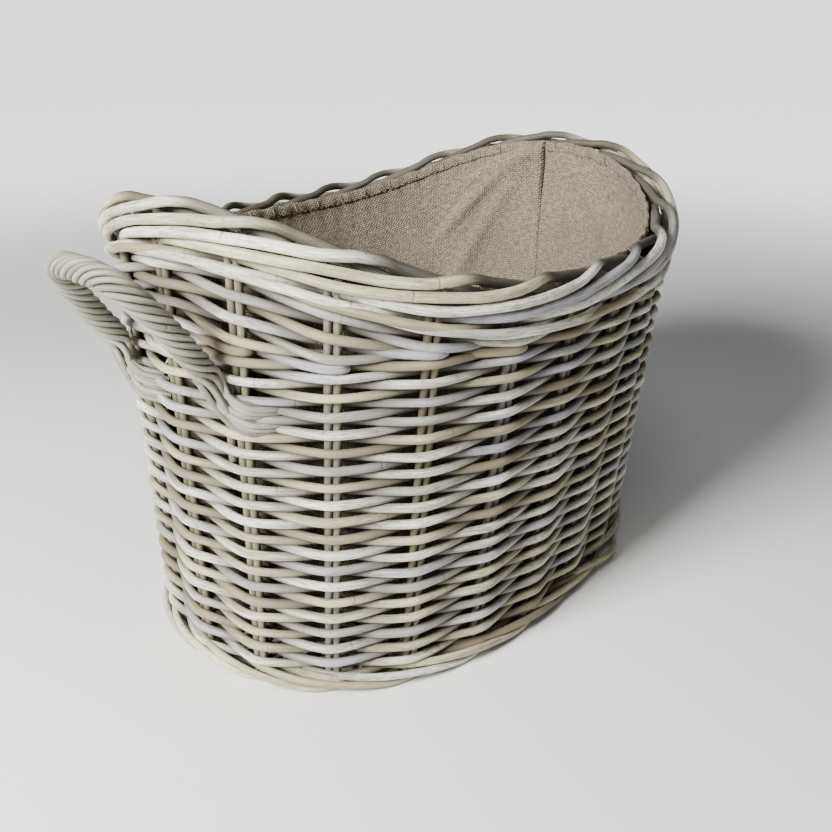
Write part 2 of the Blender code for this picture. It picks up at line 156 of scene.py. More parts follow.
def through(s, stations):
    """Smooth curve through (s, value) stations."""
    xs, ys = zip(*stations)
    at = np.clip(np.interp(s, xs, np.arange(len(xs))), 0, len(xs) - 1)
    low = np.minimum(at.astype(int), len(xs) - 2)
    part = at - low
    values = np.array((ys[0],) + ys + (ys[-1],), float)
    a, b, c, d = (values[low + k] for k in range(4))
    tension_in = (c - a) / 2
    tension_out = (d - b) / 2
    p2 = part * part
    p3 = p2 * part
    return ((2 * p3 - 3 * p2 + 1) * b + (p3 - 2 * p2 + part) * tension_in
            + (3 * p2 - 2 * p3) * c + (p3 - p2) * tension_out)


def wall_depth(points):
    """Depth of points in from the weave's outer face."""
    length = HALF_LENGTH + END_LEAN * points[:, 2]
    width = HALF_WIDTH + SIDE_LEAN * points[:, 2]
    along = abs(points[:, 0] / length) ** OVAL_POWER
    across = abs(points[:, 1] / width) ** OVAL_POWER
    return (1 - (along + across) ** (1 / OVAL_POWER)) / (along / length + across / width)


def in_the_wall(points):
    """0 on the outer face, 1 on what lies deep in the weave: painted shade, which darkens the rods there
    towards shaded cane.
    """
    return ease((wall_depth(points) - 0.0012) / 0.0130)


def in_the_open(points):
    """0 everywhere, for rods that no wall shades."""
    return np.zeros(len(points))


def wander(chance, s, size, wavelength=2.3):
    """Slow irregular drift, like a hand-laid rod's."""
    total = np.zeros(len(s))
    for octave in range(3):
        phase = chance.uniform(0, 2 * math.pi)
        wave = wavelength / (1.7 ** octave) * chance.uniform(0.8, 1.25)
        total += np.sin(2 * math.pi * s / wave + phase) / (1.6 ** octave)
    return total * size / 1.6


# Rods gathered into meshes

def spaced(line, step):
    """The same line with points at about equal distances."""
    lengths = np.concatenate([[0.0], np.cumsum(np.linalg.norm(np.diff(line, axis=0), axis=1))])
    count = max(int(math.ceil(lengths[-1] / step)), 2) + 1
    places = np.linspace(0.0, lengths[-1], count)
    return np.stack([np.interp(places, lengths, line[:, k]) for k in range(3)], -1), places


def cut_corners(line, rounds):
    for _ in range(rounds):
        a = line[:-1] * 0.75 + line[1:] * 0.25
        b = line[:-1] * 0.25 + line[1:] * 0.75
        middle = np.stack([a, b], 1).reshape(-1, 3)
        line = np.concatenate([line[:1], middle, line[-1:]])
    return line


def frames_along(line):
    """Directions and two cross directions, carried along without spinning."""
    ahead = np.gradient(line, axis=0)
    ahead /= np.linalg.norm(ahead, axis=1)[:, None]
    start = np.array([0.0, 0.0, 1.0]) if abs(ahead[0][2]) < 0.9 else np.array([1.0, 0.0, 0.0])
    cross = np.empty_like(line)
    for k, direction in enumerate(ahead):
        start = start - direction * start.dot(direction)
        start = start / math.sqrt(start.dot(start))
        cross[k] = start
    return ahead, cross, np.cross(ahead, cross)


END_DOME = 0.18               # how far a cut end bulges, as a share of the rod's radius
STRIP_GAP = 0.0012            # between the rolled-out skins in the bake layout


class Rods:
    """Many round rods, gathered and then made into one mesh object."""

    def __init__(self, sides, step, seed, recess=in_the_wall):
        self.recess = recess
        self.sides = sides
        self.step = step
        self.chance = random.Random(seed)
        self.points = []
        self.fibres = []
        self.tones = []
        self.faces = []
        self.caps = []
        self.maps = []
        self.strips = []
        self.count = 0

    def add(self, line, diameter, tone=None, taper=0.05, swell=0.03):
        """Lay one rod along a line.  tone picks its colour, from 0 to 1."""
        line, along = spaced(np.asarray(line, float), self.step)
        tone = self.chance.random() if tone is None else tone
        origin = self.chance.uniform(0, 60)
        ahead, cross, side = frames_along(line)
        thin = 1 - taper * (along / along[-1] if self.chance.random() < 0.5 else 1 - along / along[-1])
        radius = diameter / 2 * (thin + wander(self.chance, along, swell, 0.11))
        angles = 2 * math.pi * np.arange(self.sides) / self.sides
        out = (np.cos(angles)[None, :, None] * cross[:, None]
               + np.sin(angles)[None, :, None] * side[:, None])
        ring = line[:, None] + out * radius[:, None, None]
        fibre = np.empty(ring.shape)
        fibre[..., 0] = (along + origin)[:, None]
        fibre[..., 1] = np.cos(angles) * diameter / 2
        fibre[..., 2] = np.sin(angles) * diameter / 2
        rows = len(line)
        first_end = line[0] - ahead[0] * radius[0] * END_DOME
        last_end = line[-1] + ahead[-1] * radius[-1] * END_DOME
        end_fibre = np.array([[origin, 0, 0], [along[-1] + origin, 0, 0]])
        self.points.append(np.concatenate([ring.reshape(-1, 3), first_end[None], last_end[None]]))
        self.fibres.append(np.concatenate([fibre.reshape(-1, 3), end_fibre]))
        self.tones.append(np.full(rows * self.sides + 2, tone))
        self.add_faces(rows)
        self.strips.append((along, math.pi * diameter, diameter))
        self.count += rows * self.sides + 2

    def add_faces(self, rows):
        k = np.arange(self.sides)
        after = (k + 1) % self.sides
        base = self.count + np.arange(rows - 1)[:, None] * self.sides
        quads = np.stack([base + k, base + after, base + self.sides + after, base + self.sides + k], -1)
        self.faces.append(quads.reshape(-1, 4))
        first = self.count + rows * self.sides
        last_ring = self.count + (rows - 1) * self.sides
        start_cap = np.stack([np.full(self.sides, first), self.count + after, self.count + k], -1)
        end_cap = np.stack([np.full(self.sides, first + 1), last_ring + k, last_ring + after], -1)
        self.caps.append(np.concatenate([start_cap, end_cap]))

    def strip_map(self):
        """Bake layout: every rod's skin rolled out flat, in rows of one width, then the cut ends."""
        tallest = max(girth for _, girth, _ in self.strips) + STRIP_GAP
        area = sum(along[-1] for along, _, _ in self.strips) * tallest
        width = max(math.sqrt(area), 3 * self.step)
        skins, used = self.skin_maps(width, tallest)
        ends, top = self.end_maps(width, tallest, used)
        return np.concatenate(skins + ends) / max(width + self.step, top)

    def skin_maps(self, width, tallest):
        maps = []
        across = np.arange(self.sides)
        x = 0.0
        row = 0
        for along, girth, _ in self.strips:
            steps = np.diff(along)
            starts = np.empty((len(steps), 2))
            for k, step in enumerate(steps):
                if x + step > width:
                    x = 0.0
                    row += 1
                starts[k] = (x, row * tallest)
                x += step
            x += self.step * 0.25
            u0 = np.repeat(starts[:, :1], self.sides, 1)
            u1 = u0 + steps[:, None]
            v0 = starts[:, 1:] + across * girth / self.sides
            v1 = v0 + girth / self.sides
            maps.append(np.stack([u0, v0, u0, v1, u1, v1, u1, v0], -1).reshape(-1, 2))
        return maps, (row + 1) * tallest

    def end_maps(self, width, tallest, base):
        maps = []
        angles = 2 * math.pi * np.arange(self.sides + 1) / self.sides
        circle = np.stack([np.cos(angles), np.sin(angles)], -1)
        x = 0.0
        for _, _, diameter in self.strips:
            for end in range(2):
                if x + diameter > width:
                    x = 0.0
                    base += tallest / 2
                middle = np.array([x + diameter / 2, base + diameter / 2])
                rim = middle + circle * diameter * 0.45
                a, b = (rim[1:], rim[:-1]) if end == 0 else (rim[:-1], rim[1:])
                middles = np.repeat(middle[None], self.sides, 0)
                maps.append(np.stack([middles, a, b], 1).reshape(-1, 2))
                x += diameter * 1.1
        return maps, base + tallest

    def build(self, name, skin, cut):
        quads = np.concatenate(self.faces)
        caps = np.concatenate(self.caps)
        mesh = bpy.data.meshes.new(name)
        mesh.from_pydata(np.concatenate(self.points).tolist(), [], quads.tolist() + caps.tolist())
        fibre = mesh.attributes.new("fibre", "FLOAT_VECTOR", "POINT")
        fibre.data.foreach_set("vector", np.concatenate(self.fibres).astype(np.float32).ravel())
        tone = mesh.attributes.new("tone", "FLOAT", "POINT")
        tone.data.foreach_set("value", np.concatenate(self.tones).astype(np.float32))
        # painted shade for each point, from the shade function that the rods were gathered with
        recess = mesh.attributes.new("recess", "FLOAT", "POINT")
        recess.data.foreach_set("value", self.recess(np.concatenate(self.points)).astype(np.float32))
        layer = mesh.uv_layers.new(name="OFBake")
        layer.data.foreach_set("uv", self.strip_map().astype(np.float32).ravel())
        mesh.materials.append(skin)
        mesh.materials.append(cut)
        is_cap = np.zeros(len(mesh.polygons), np.int32)
        is_cap[len(quads):] = 1
        mesh.polygons.foreach_set("material_index", is_cap)
        mesh.shade_smooth()
        mesh.set_sharp_from_angle(angle=math.radians(50))
        mesh.update()
        return add_object(name, mesh)


def add_object(name, data):
    piece = bpy.data.objects.new(name, data)
    bpy.context.scene.collection.objects.link(piece)
    return piece


def place(piece, slot_name, *nodes):
    """Fix a finished piece to the basket in place of the plain solids it stands for."""
    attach(piece, "root")
    if nodes:
        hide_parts(*nodes)
    return piece


def place_rods(rods, name, look, slot_name, *nodes):
    """Make gathered rods into one piece of grey-washed rattan and fix it in place."""
    return place(rods.build(name, rattan(look), cut_end(look)), slot_name, *nodes)


# Shader nodes written as expressions

class Value:
    """A number in a shader.  Arithmetic on it adds Math nodes."""

    def __init__(self, tree, socket):
        self.tree = tree
        self.socket = socket

    def maths(self, operation, *others):
        values = {k + 1: getattr(other, "socket", other) for k, other in enumerate(others)}
        node = self.tree.add("ShaderNodeMath", {"operation": operation}, {0: self.socket, **values})
        return Value(self.tree, node.outputs[0])

    def __add__(self, other):
        return self.maths("ADD", other)

    def __radd__(self, other):
        return self.maths("ADD", other)

    def __sub__(self, other):
        return self.maths("SUBTRACT", other)

    def __rsub__(self, other):
        node = self.tree.add("ShaderNodeMath", {"operation": "SUBTRACT"}, {0: other, 1: self.socket})
        return Value(self.tree, node.outputs[0])

    def __mul__(self, other):
        return self.maths("MULTIPLY", other)

    def __rmul__(self, other):
        return self.maths("MULTIPLY", other)

    def __pow__(self, other):
        return self.maths("POWER", other)

    def sine(self):
        return self.maths("SINE")

    def highest(self, other):
        return self.maths("MAXIMUM", other)

    def lowest(self, other):
        return self.maths("MINIMUM", other)

    def distance_to_mark(self, spacing):
        """Distance to the nearest multiple of two spacings."""
        return self.maths("PINGPONG", spacing)

    def fade(self, low, high):
        """0 at low and 1 at high, smoothly."""
        node = self.tree.add(
            "ShaderNodeMapRange", {"interpolation_type": "SMOOTHSTEP"},
            {"Value": self.socket, "From Min": low, "From Max": high},
        )
        return Value(self.tree, node.outputs["Result"])


class Nodes:
    """A node tree, filled by one method."""

    def __init__(self, tree):
        self.nodes = tree.nodes
        self.links = tree.links

    def add(self, kind, settings, sockets):
        """Make a node: settings first, then values or links for its inputs."""
        node = self.nodes.new(kind)
        for key, value in settings.items():
            if key == "stops":
                self.set_stops(node.color_ramp, value)
            else:
                setattr(node, key, value)
        for key, value in sockets.items():
            value = getattr(value, "socket", value)
            if isinstance(value, bpy.types.NodeSocket):
                self.links.new(value, node.inputs[key])
            else:
                node.inputs[key].default_value = value
        return node

    @staticmethod
    def set_stops(ramp, stops):
        while len(ramp.elements) < len(stops):
            ramp.elements.new(0.5)
        for element, (position, colour) in zip(ramp.elements, stops):
            element.position = position
            element.color = (*colour, 1.0)


class Finish(Nodes):
    """One material, with the looks that its nodes can make."""

    def __init__(self, name, roughness, specular=0.35):
        self.material = bpy.data.materials.new(name)
        self.material.use_nodes = True
        super().__init__(self.material.node_tree)
        self.shader = self.nodes["Principled BSDF"]
        self.shader.inputs["Roughness"].default_value = roughness
        self.shader.inputs["Specular IOR Level"].default_value = specular

    def number(self, attribute):
        node = self.add("ShaderNodeAttribute", {"attribute_name": attribute}, {})
        return Value(self, node.outputs["Fac"])

    def vector(self, attribute):
        return self.add("ShaderNodeAttribute", {"attribute_name": attribute}, {}).outputs["Vector"]

    def part(self, vector, axis):
        return Value(self, self.add("ShaderNodeSeparateXYZ", {}, {0: vector}).outputs[axis])

    def noise(self, vector, scale, detail, roughness=0.55):
        """Soft noise from 0 to 1, with its own scale along each axis."""
        scaled = self.add("ShaderNodeVectorMath", {"operation": "MULTIPLY"}, {0: vector, 1: scale})
        node = self.add(
            "ShaderNodeTexNoise", {},
            {"Vector": scaled.outputs[0], "Scale": 1.0, "Detail": detail, "Roughness": roughness},
        )
        return Value(self, node.outputs["Fac"])

    def mix(self, factor, first, second):
        node = self.add(
            "ShaderNodeMix", {"data_type": "RGBA"}, {"Factor": factor, 6: first, 7: second},
        )
        return node.outputs[2]

    def ramp(self, factor, stops):
        return self.add("ShaderNodeValToRGB", {"stops": stops}, {"Fac": factor}).outputs["Color"]

    def colour(self, socket):
        self.links.new(socket, self.shader.inputs["Base Color"])

    def roughness(self, value):
        self.links.new(value.socket, self.shader.inputs["Roughness"])

    def glow(self, socket, strength):
        self.links.new(socket, self.shader.inputs["Emission Color"])
        self.shader.inputs["Emission Strength"].default_value = strength

    def bump(self, height, strength, distance):
        node = self.add(
            "ShaderNodeBump", {}, {"Height": height, "Strength": strength, "Distance": distance},
        )
        self.links.new(node.outputs["Normal"], self.shader.inputs["Normal"])


def solid(colour):
    return (*colour, 1.0)


def rattan_finish(name, look, stops):
    """Grey-washed rattan: a tone for each rod, long grain, rings at the joints and worn wash, with
    painted shade where the rods lie deep.
    """
    finish = Finish(name, 0.6)
    fibre = finish.vector("fibre")
    tone = finish.number("tone")
    slow = finish.noise(fibre, (5.0, 0.0, 0.0), 2.0)
    shifted = (tone + (slow - 0.5) * 0.5).highest(0.0).lowest(1.0)
    wash = finish.ramp(shifted, stops)
    grain = finish.noise(fibre, (26.0, 900.0, 900.0), 4.0, 0.65)
    blotch = finish.noise(fibre, (38.0, 150.0, 150.0), 3.0, 0.6)
    along = finish.part(fibre, 0)
    joint = 1.0 - along.distance_to_mark(0.16).fade(0.0002, 0.0016)
    flecks = finish.noise(fibre, (130.0, 700.0, 700.0), 3.0, 0.7)
    worn = (grain.fade(0.44, 0.66) * 0.62 + flecks.fade(0.54, 0.64) * 0.74).lowest(0.90)
    skin = finish.mix(worn, wash, solid(look.bare_cane))
    skin = finish.mix(joint * (blotch.fade(0.35, 0.6) * 0.6), skin, solid(look.joint_colour))
    grime = finish.noise(fibre, (15.0, 120.0, 120.0), 5.0, 0.7)
    skin = finish.mix(grime.fade(0.42, 0.62) * 0.58, skin, solid(look.grime))
    # Painted shade: each point's shade value mixes the skin towards dark shaded cane, deep in the weave
    # and between rope strands.
    recess = finish.number("recess")
    skin = finish.mix(recess * 0.88, skin, solid(look.shaded_cane))
    finish.colour(skin)
    finish.roughness(0.74 - blotch.fade(0.35, 0.75) * 0.24)
    height = grain * 0.5 + blotch * 0.3 - joint * 0.9
    finish.bump(height, 0.55, 0.0006)
    return finish.material


def cut_end_finish(look):
    """The pale pith of a rod's cut end, darkened by painted shade where it lies deep in the weave."""
    finish = Finish("rattan_cut_end", 0.85)
    fibre = finish.vector("fibre")
    pores = finish.noise(fibre, (1.0, 1600.0, 1600.0), 2.0)
    pith = finish.mix(pores.fade(0.45, 0.75) * 0.5, solid(look.cut_cane), solid(look.bare_cane))
    # Painted shade: cut ends deep in the weave are mixed towards shaded cane.
    finish.colour(finish.mix(finish.number("recess") * 0.9, pith, solid(look.shaded_cane)))
    finish.bump(pores, 0.4, 0.0004)
    return finish.material


def hessian_finish(name, look, light):
    """Coarse plain-woven jute: uneven warp and weft yarns, slubs and a dusty, mottled tone; a light below
    1 darkens it with painted shade.
    """
    finish = Finish(name, 0.93, 0.15)
    cloth = finish.vector("cloth")
    pitch = look.yarn_pitch
    drift = finish.noise(cloth, (55.0, 55.0, 0.0), 3.0)
    across = finish.part(cloth, 0) + (drift - 0.5) * 0.0022
    down = finish.part(cloth, 1) + (drift - 0.5) * 0.0016
    warp = (across * (2 * math.pi / pitch)).sine() * 0.5 + 0.5
    weft = (down * (2 * math.pi / pitch)).sine() * 0.5 + 0.5
    cell = (across * (math.pi / pitch)).sine() * (down * (math.pi / pitch)).sine()
    over = cell.fade(-0.35, 0.35)
    yarn = warp * over + weft * (1 - over)
    weft_slub = finish.noise(cloth, (120.0, 430.0, 0.0), 3.0, 0.75)
    warp_slub = finish.noise(cloth, (430.0, 130.0, 0.0), 3.0, 0.75)
    slub = weft_slub * 0.55 + warp_slub * 0.45
    mottle = finish.noise(cloth, (9.0, 12.0, 0.0), 4.0)
    tones = [(0.0, look.jute_dark), (0.5, look.jute), (1.0, look.jute_light)]
    base = finish.ramp(slub.fade(0.38, 0.62), tones)
    base = finish.mix(mottle.fade(0.42, 0.70) * 0.35, base, solid(look.jute_dark))
    gaps = (1 - yarn.fade(0.05, 0.55)) * 0.55
    cloth_colour = finish.mix(gaps, base, solid(look.jute_shadow))
    # Painted shade: with light below 1 the whole cloth is mixed towards the dark back colour, for the
    # side against the weave.
    finish.colour(finish.mix(1.0 - light, cloth_colour, solid(look.jute_back_shade)))
    finish.bump(yarn * 0.8 + slub * 0.9, 1.0, 0.0013)
    return finish.material


def thread_finish(look):
    finish = Finish("sewing_thread", 0.8)
    fibre = finish.vector("fibre")
    twist = finish.noise(fibre, (900.0, 500.0, 500.0), 2.0)
    finish.colour(finish.mix(twist, solid(look.jute), solid(look.jute_dark)))
    finish.bump(twist, 0.5, 0.0003)
    return finish.material


def floor_finish(look):
    """Pale studio floor that glows far from the basket: painted light, like an infinity cove that lights
    the basket from low down.
    """
    finish = Finish("pale_floor", 0.9, 0.1)
    where = finish.add("ShaderNodeTexCoord", {}, {}).outputs["Object"]
    cloudy = finish.noise(where, (3.0, 3.0, 3.0), 2.0)
    duller = tuple(part * 0.97 for part in look.floor)
    finish.colour(finish.mix(cloudy * 0.1, solid(look.floor), solid(duller)))
    across = finish.part(where, 0)
    back = finish.part(where, 1)
    # Painted light: the floor emits light that rises with distance from the basket, lighting it from near
    # the horizon.
    far = ((across * across + back * back) ** 0.5).fade(0.9, 3.4)
    finish.glow(finish.mix(far, solid((0.0, 0.0, 0.0)), solid((1.0, 1.0, 1.0))), look.cove_glow)
    return finish.material


def finish_named(name, make, *args):
    """A material that is made once and then shared."""
    return bpy.data.materials.get(name) or make(*args)


def rattan(look):
    return finish_named("grey_washed_rattan", rattan_finish, "grey_washed_rattan", look, [
        (0.00, look.white_wash), (0.20, look.grey_wash), (0.34, look.lavender_wash),
        (0.47, look.white_wash), (0.64, look.cream_cane), (0.84, look.tan_cane),
        (0.94, look.brown_cane), (1.00, look.tan_cane),
    ])


def rope_rattan(look):
    """Thin rods of the handles, which are greyer and more alike than the siding's."""
    return finish_named("grey_rope_rattan", rattan_finish, "grey_rope_rattan", look, [
        (0.00, look.rope_pale), (0.45, look.rope_grey), (0.80, look.rope_dark), (1.00, look.tan_cane),
    ])


def cut_end(look):
    return finish_named("rattan_cut_end", cut_end_finish, look)


def hessian(look, light):
    """Hessian for the side in the open, or a copy darkened with painted shade for the side against the
    weave.
    """
    name = "hessian_cloth" if light == 1.0 else "hessian_cloth_backs"
    return finish_named(name, hessian_finish, name, look, light)


# Routes of the rods

def weave_depth(s, first_front):
    """In front of the stakes at first_front, first_front + 2 and so on, behind the others."""
    swing = BEND_SHARPNESS * np.cos(math.pi * (s - first_front))
    return STAKE_DEPTH - (WALL / 3) * np.arcsin(swing) / math.asin(BEND_SHARPNESS)


def level_rows(weave):
    """(height, parity) of each full row; a row of odd parity is in front of the even stakes."""
    first = weave.first_row
    count = int((LEVEL_TOP - weave.rod / 2 - first) / weave.row_pitch + 0.5) + 1
    return [(first + row * weave.row_pitch, row) for row in range(count)]


def broken_row(chance, row, mean_rods):
    """Places, in stake spacings, where one row changes from rod to rod, always behind a stake."""
    behind = [stake for stake in range(STAKE_COUNT) if (stake + row) % 2 == 0]
    breaks = sorted(chance.sample(behind, mean_rods))
    return [(a, b if b > a else b + STAKE_COUNT) for a, b in zip(breaks, breaks[1:] + breaks[:1])]


def siding_row(rods, weave, chance, height, row):
    first_front = 1 - row % 2
    for start, end in broken_row(chance, row, weave.rods_per_row):
        s = np.arange(start + 0.04, end - 0.04, 1 / 14)
        drift = wander(chance, s, 0.0006)
        depth = weave_depth(s, first_front) + wander(chance, s, 0.0005)
        diameter = weave.rod * chance.uniform(0.92, 1.07)
        rods.add(wall(s, height + drift, depth), diameter)


def packed_rows(weave, stake):
    """How many short rows stand between the level rows and the rim wale: an odd number, or none."""
    room = float(wale_bottom(stake)) - LEVEL_TOP
    if room < weave.row_pitch * 0.6:
        return 0
    return 1 + 2 * max(0, round((room / weave.row_pitch - 1) / 2))


def packed_height(weave, stake, level):
    room = float(wale_bottom(stake)) - LEVEL_TOP
    return float(wale_bottom(stake)) - (level + 0.5) * room / packed_rows(weave, stake)


def packing_row(rods, weave, chance, middle, level):
    """A short row at a raised end.  Its ends tuck in behind a stake or turn back round one."""
    first = last = round(middle)
    while packed_rows(weave, first - 1) > level:
        first -= 1
    while packed_rows(weave, last + 1) > level:
        last += 1
    stations = [(stake, packed_height(weave, stake, level)) for stake in range(first, last + 1)]
    turned = {}
    for stake, outward in ((first, -1), (last, 1)):
        front = (stake + level) % 2 == 0
        turned[outward] = not front and level >= packed_rows(weave, stake) - 2
        if front:
            stations.append((stake + outward * 0.94, LEVEL_TOP + 0.0035))
        elif turned[outward]:
            below = LEVEL_TOP + (0.0043 if (stake + outward) % 2 else -0.0040)
            stations.append((stake + outward, below))
    stations.sort()
    s = np.arange(stations[0][0], stations[-1][0] + 0.01, 1 / 16)
    height = through(s, stations) + wander(chance, s, 0.0005)
    line = wall(s, height, weave_depth(s, level % 2))
    if turned[-1]:
        line = np.concatenate([turned_end(first - 1, -1, height[0])[::-1], line])
    if turned[1]:
        line = np.concatenate([line, turned_end(last + 1, 1, height[-1])])
    rods.add(cut_corners(line, 1), weave.rod * chance.uniform(0.95, 1.06))


def turned_end(stake, outward, height):
    """The end of a short row, turned round the side of its last stake pair and in behind it."""
    steps = [
        (0.09, 0.0048), (0.135, 0.0072), (0.145, 0.0115), (0.12, 0.0160), (0.03, 0.0186), (-0.16, 0.0190),
    ]
    places = np.array([stake + outward * along for along, _ in steps])
    depths = np.array([depth for _, depth in steps])
    return wall(places, height - 0.0003 * np.arange(len(steps)), depths)


def wale_rods(rods, weave, chance):
    """Three rods twisted round the stakes under the rim: each in front of two and behind one."""
    rise = 0.0076
    depths = [(0, WALL - 0.004), (0.25, WALL - 0.006), (0.55, 0.009), (0.9, 0.0032), (1.5, 0.0022)]
    for lead in range(3):
        s = np.arange(lead, lead + STAKE_COUNT + 0.2, 1 / 14)
        phase = ((s - lead) / 3) % 1.0
        hidden = np.minimum(phase, 1 - phase) * 3
        depth = through(hidden, depths)
        lift = (phase - 0.5) * rise
        height = wale_bottom(s) + WALE_HEIGHT / 2 + lift + wander(chance, s, 0.0005)
        rods.add(wall(s, height, depth - WALE_PROUD), weave.rod * 1.02)


def border_rod(rods, weave, chance, stake):
    """One rod of the rolled rim: up the outside past three stakes, over the top and on inside."""
    top = weave.border_rod / 2
    drops = [
        (-0.45, 0.0400), (-0.2, 0.0372), (0.15, 0.0345), (0.6, 0.0315), (1.1, 0.0265), (1.7, 0.0200),
        (2.2, 0.0150), (2.6, 0.0108), (2.84, 0.0066), (3.0, top), (3.14, top), (3.32, top + 0.0030),
        (3.65, top + 0.0058), (3.95, top + 0.0088), (4.25, top + 0.0135), (4.6, top + 0.0190),
    ]
    depths = [
        (-0.45, 0.0150), (-0.2, 0.0120), (0.15, 0.0065), (0.6, 0.0015), (1.1, 0.0002), (1.7, 0.0),
        (2.2, 0.0010), (2.6, 0.0028), (2.82, 0.0052), (3.0, 0.0096), (3.16, 0.0142), (3.35, 0.0182),
        (3.65, 0.0200), (3.95, 0.0202), (4.25, 0.0186), (4.6, 0.0150),
    ]
    ahead = np.arange(-0.45, 4.6, 1 / 20)
    s = stake + ahead + 0.30
    drop = through(ahead, drops) + wander(chance, ahead, 0.0006)
    depth = through(ahead, depths) + wander(chance, ahead, 0.0004)
    height = rim_height(s) - np.maximum(drop, top)
    rods.add(wall(s, height, depth), weave.border_rod * chance.uniform(0.93, 1.04), taper=0.12)


def foot_rod(rods, weave, chance, stake):
    """One rod of the foot border: down the outside past two stakes and in under the wall."""
    rod = weave.rod * 0.90
    low = rod / 2 + 0.0002
    heights = [
        (-0.4, 0.0165), (0.0, 0.0158), (0.4, 0.0150), (0.9, 0.0122), (1.4, 0.0082), (1.8, low),
        (2.2, low), (2.5, low), (2.9, low),
    ]
    depths = [
        (-0.4, 0.0130), (0.0, 0.0060), (0.4, 0.0012), (0.9, -0.0012), (1.4, -0.0010), (1.8, 0.0020),
        (2.2, 0.0080), (2.5, 0.0130), (2.9, 0.0180),
    ]
    ahead = np.arange(-0.4, 2.9, 1 / 16)
    s = stake + ahead
    height = np.maximum(through(ahead, heights) + wander(chance, ahead, 0.0003), low)
    depth = through(ahead, depths)
    if stake == weave.loose_foot_stake:
        bulge = 0.0085
        depth = depth - bulge * np.sin(math.pi * np.clip((ahead - 0.2) / 1.6, 0, 1)) ** 2
    rods.add(wall(s, height, depth), rod * chance.uniform(0.95, 1.04), taper=0.08)


def stake_rods(rods, stake):
    """The two rods of a stake pair, side by side from the foot up into the border."""
    bottom = 0.007
    top = float(rim_height(stake)) - BORDER_HEIGHT + 0.009
    for side in (-1, 1):
        s = stake + side * (STAKE_ROD * 0.5) / SPACING
        line = wall(np.array([s, s]), np.array([bottom, top]), STAKE_DEPTH)
        rods.add(line, STAKE_ROD * 0.97, rods.chance.choice(STAKE_TONES), taper=0.02)


# Handles

ROPE_TONES = (0.18, 0.30, 0.42, 0.36, 0.50, 0.74, 0.26)
HALF_TURN = np.array([-1.0, -1.0, 1.0])


def in_the_rope(rope, turned):
    """Painted shade for a handle: 1 on the sides of the strands that face the bow, where they are
    darkened.
    """
    centre = rope_stretch(rope)[0] * turned

    def recess(points):
        nearest = np.full(len(points), 1.0)
        for spot in centre:
            nearest = np.minimum(nearest, np.linalg.norm(points - spot, axis=1))
        on_rope = 1 - ease((nearest - 0.0070) / 0.0042)
        return np.where(nearest < 0.0135, on_rope, in_the_wall(points))

    return recess


def left_middle_stake():
    return min(range(STAKE_COUNT), key=lambda stake: abs(stake - s_at_turn(0.5)))


def handle_loop(rope, steps):
    """Centre line of the rope loop at the -X end, starting and ending on the weave's outer face."""
    middle = left_middle_stake()
    feet = (middle - 1 + rope.foot_offset / SPACING, middle + 1 - rope.foot_offset / SPACING)
    ends = wall(np.array(feet), rope.foot_height, 0.0)
    phase = np.linspace(0, math.pi, steps + 1)
    power = 2 / rope.squareness
    rise = np.sin(phase) ** power
    across = np.sign(np.cos(phase)) * abs(np.cos(phase)) ** power
    line = ends[0] + (ends[1] - ends[0]) * ((1 - across) / 2)[:, None]
    line[:, 0] -= rope.out * rise
    line[:, 2] += rope.up * rise
    return line, feet


def handle_core(rope):
    """The bow itself: down in the weave, out, round and back in."""
    loop, feet = handle_loop(rope, 40)
    starts = []
    for foot in feet:
        heights = rope.foot_height - np.array([0.07, 0.036, 0.016])
        starts.append(wall(np.full(3, foot), heights, STAKE_DEPTH))
    return cut_corners(np.concatenate([starts[0], loop[2:-2], starts[1][::-1]]), 2), feet


def rope_stretch(rope):
    """The part of the bow's line that the rope covers, and the places of its feet."""
    core, feet = handle_core(rope)
    x = HALF_LENGTH + END_LEAN * core[:, 2]
    y = HALF_WIDTH + SIDE_LEAN * core[:, 2]
    face = x * (1 - np.minimum(abs(core[:, 1]) / y, 1) ** OVAL_POWER) ** (1 / OVAL_POWER)
    outside = -core[:, 0] > face + 0.004
    return spaced(core[outside], 0.004)[0], feet


def tail_line(rope, foot, rank, side, start, ahead):
    """A rope strand once it meets the wall: fanned out to one side and tucked behind a stake."""
    drop = 0.006 + 0.0036 * rank
    reach = foot + side * (0.24 + 0.03 * ((rank * 3) % 4))
    height = rope.foot_height - 0.002 - drop
    end, beyond, far, deep = wall(
        reach + side * np.array([0.0, 0.05, 0.16, 0.30]),
        height - np.array([0.0, 0.0020, 0.0042, 0.0050]),
        np.array([-0.0032, -0.0016, 0.0062, 0.0130]),
    )
    along = (beyond - end) / math.dist(beyond, end)
    ahead = ahead / math.sqrt(ahead.dot(ahead))
    part = np.linspace(0.0, 1.0, 9)[1:-1, None]
    held = start + ahead * 0.016
    led = end - along * 0.018
    curve = ((1 - part) ** 3 * start + 3 * (1 - part) ** 2 * part * held
             + 3 * (1 - part) * part ** 2 * led + part ** 3 * end)
    sunk = np.maximum(wall_depth(curve) + 0.0030, 0.0)[:, None]
    out = curve * np.array([1.0, 1.0, 0.0])
    curve = curve + out / np.linalg.norm(out, axis=1)[:, None] * sunk
    return np.concatenate([curve, np.stack([end, beyond, far, deep])])


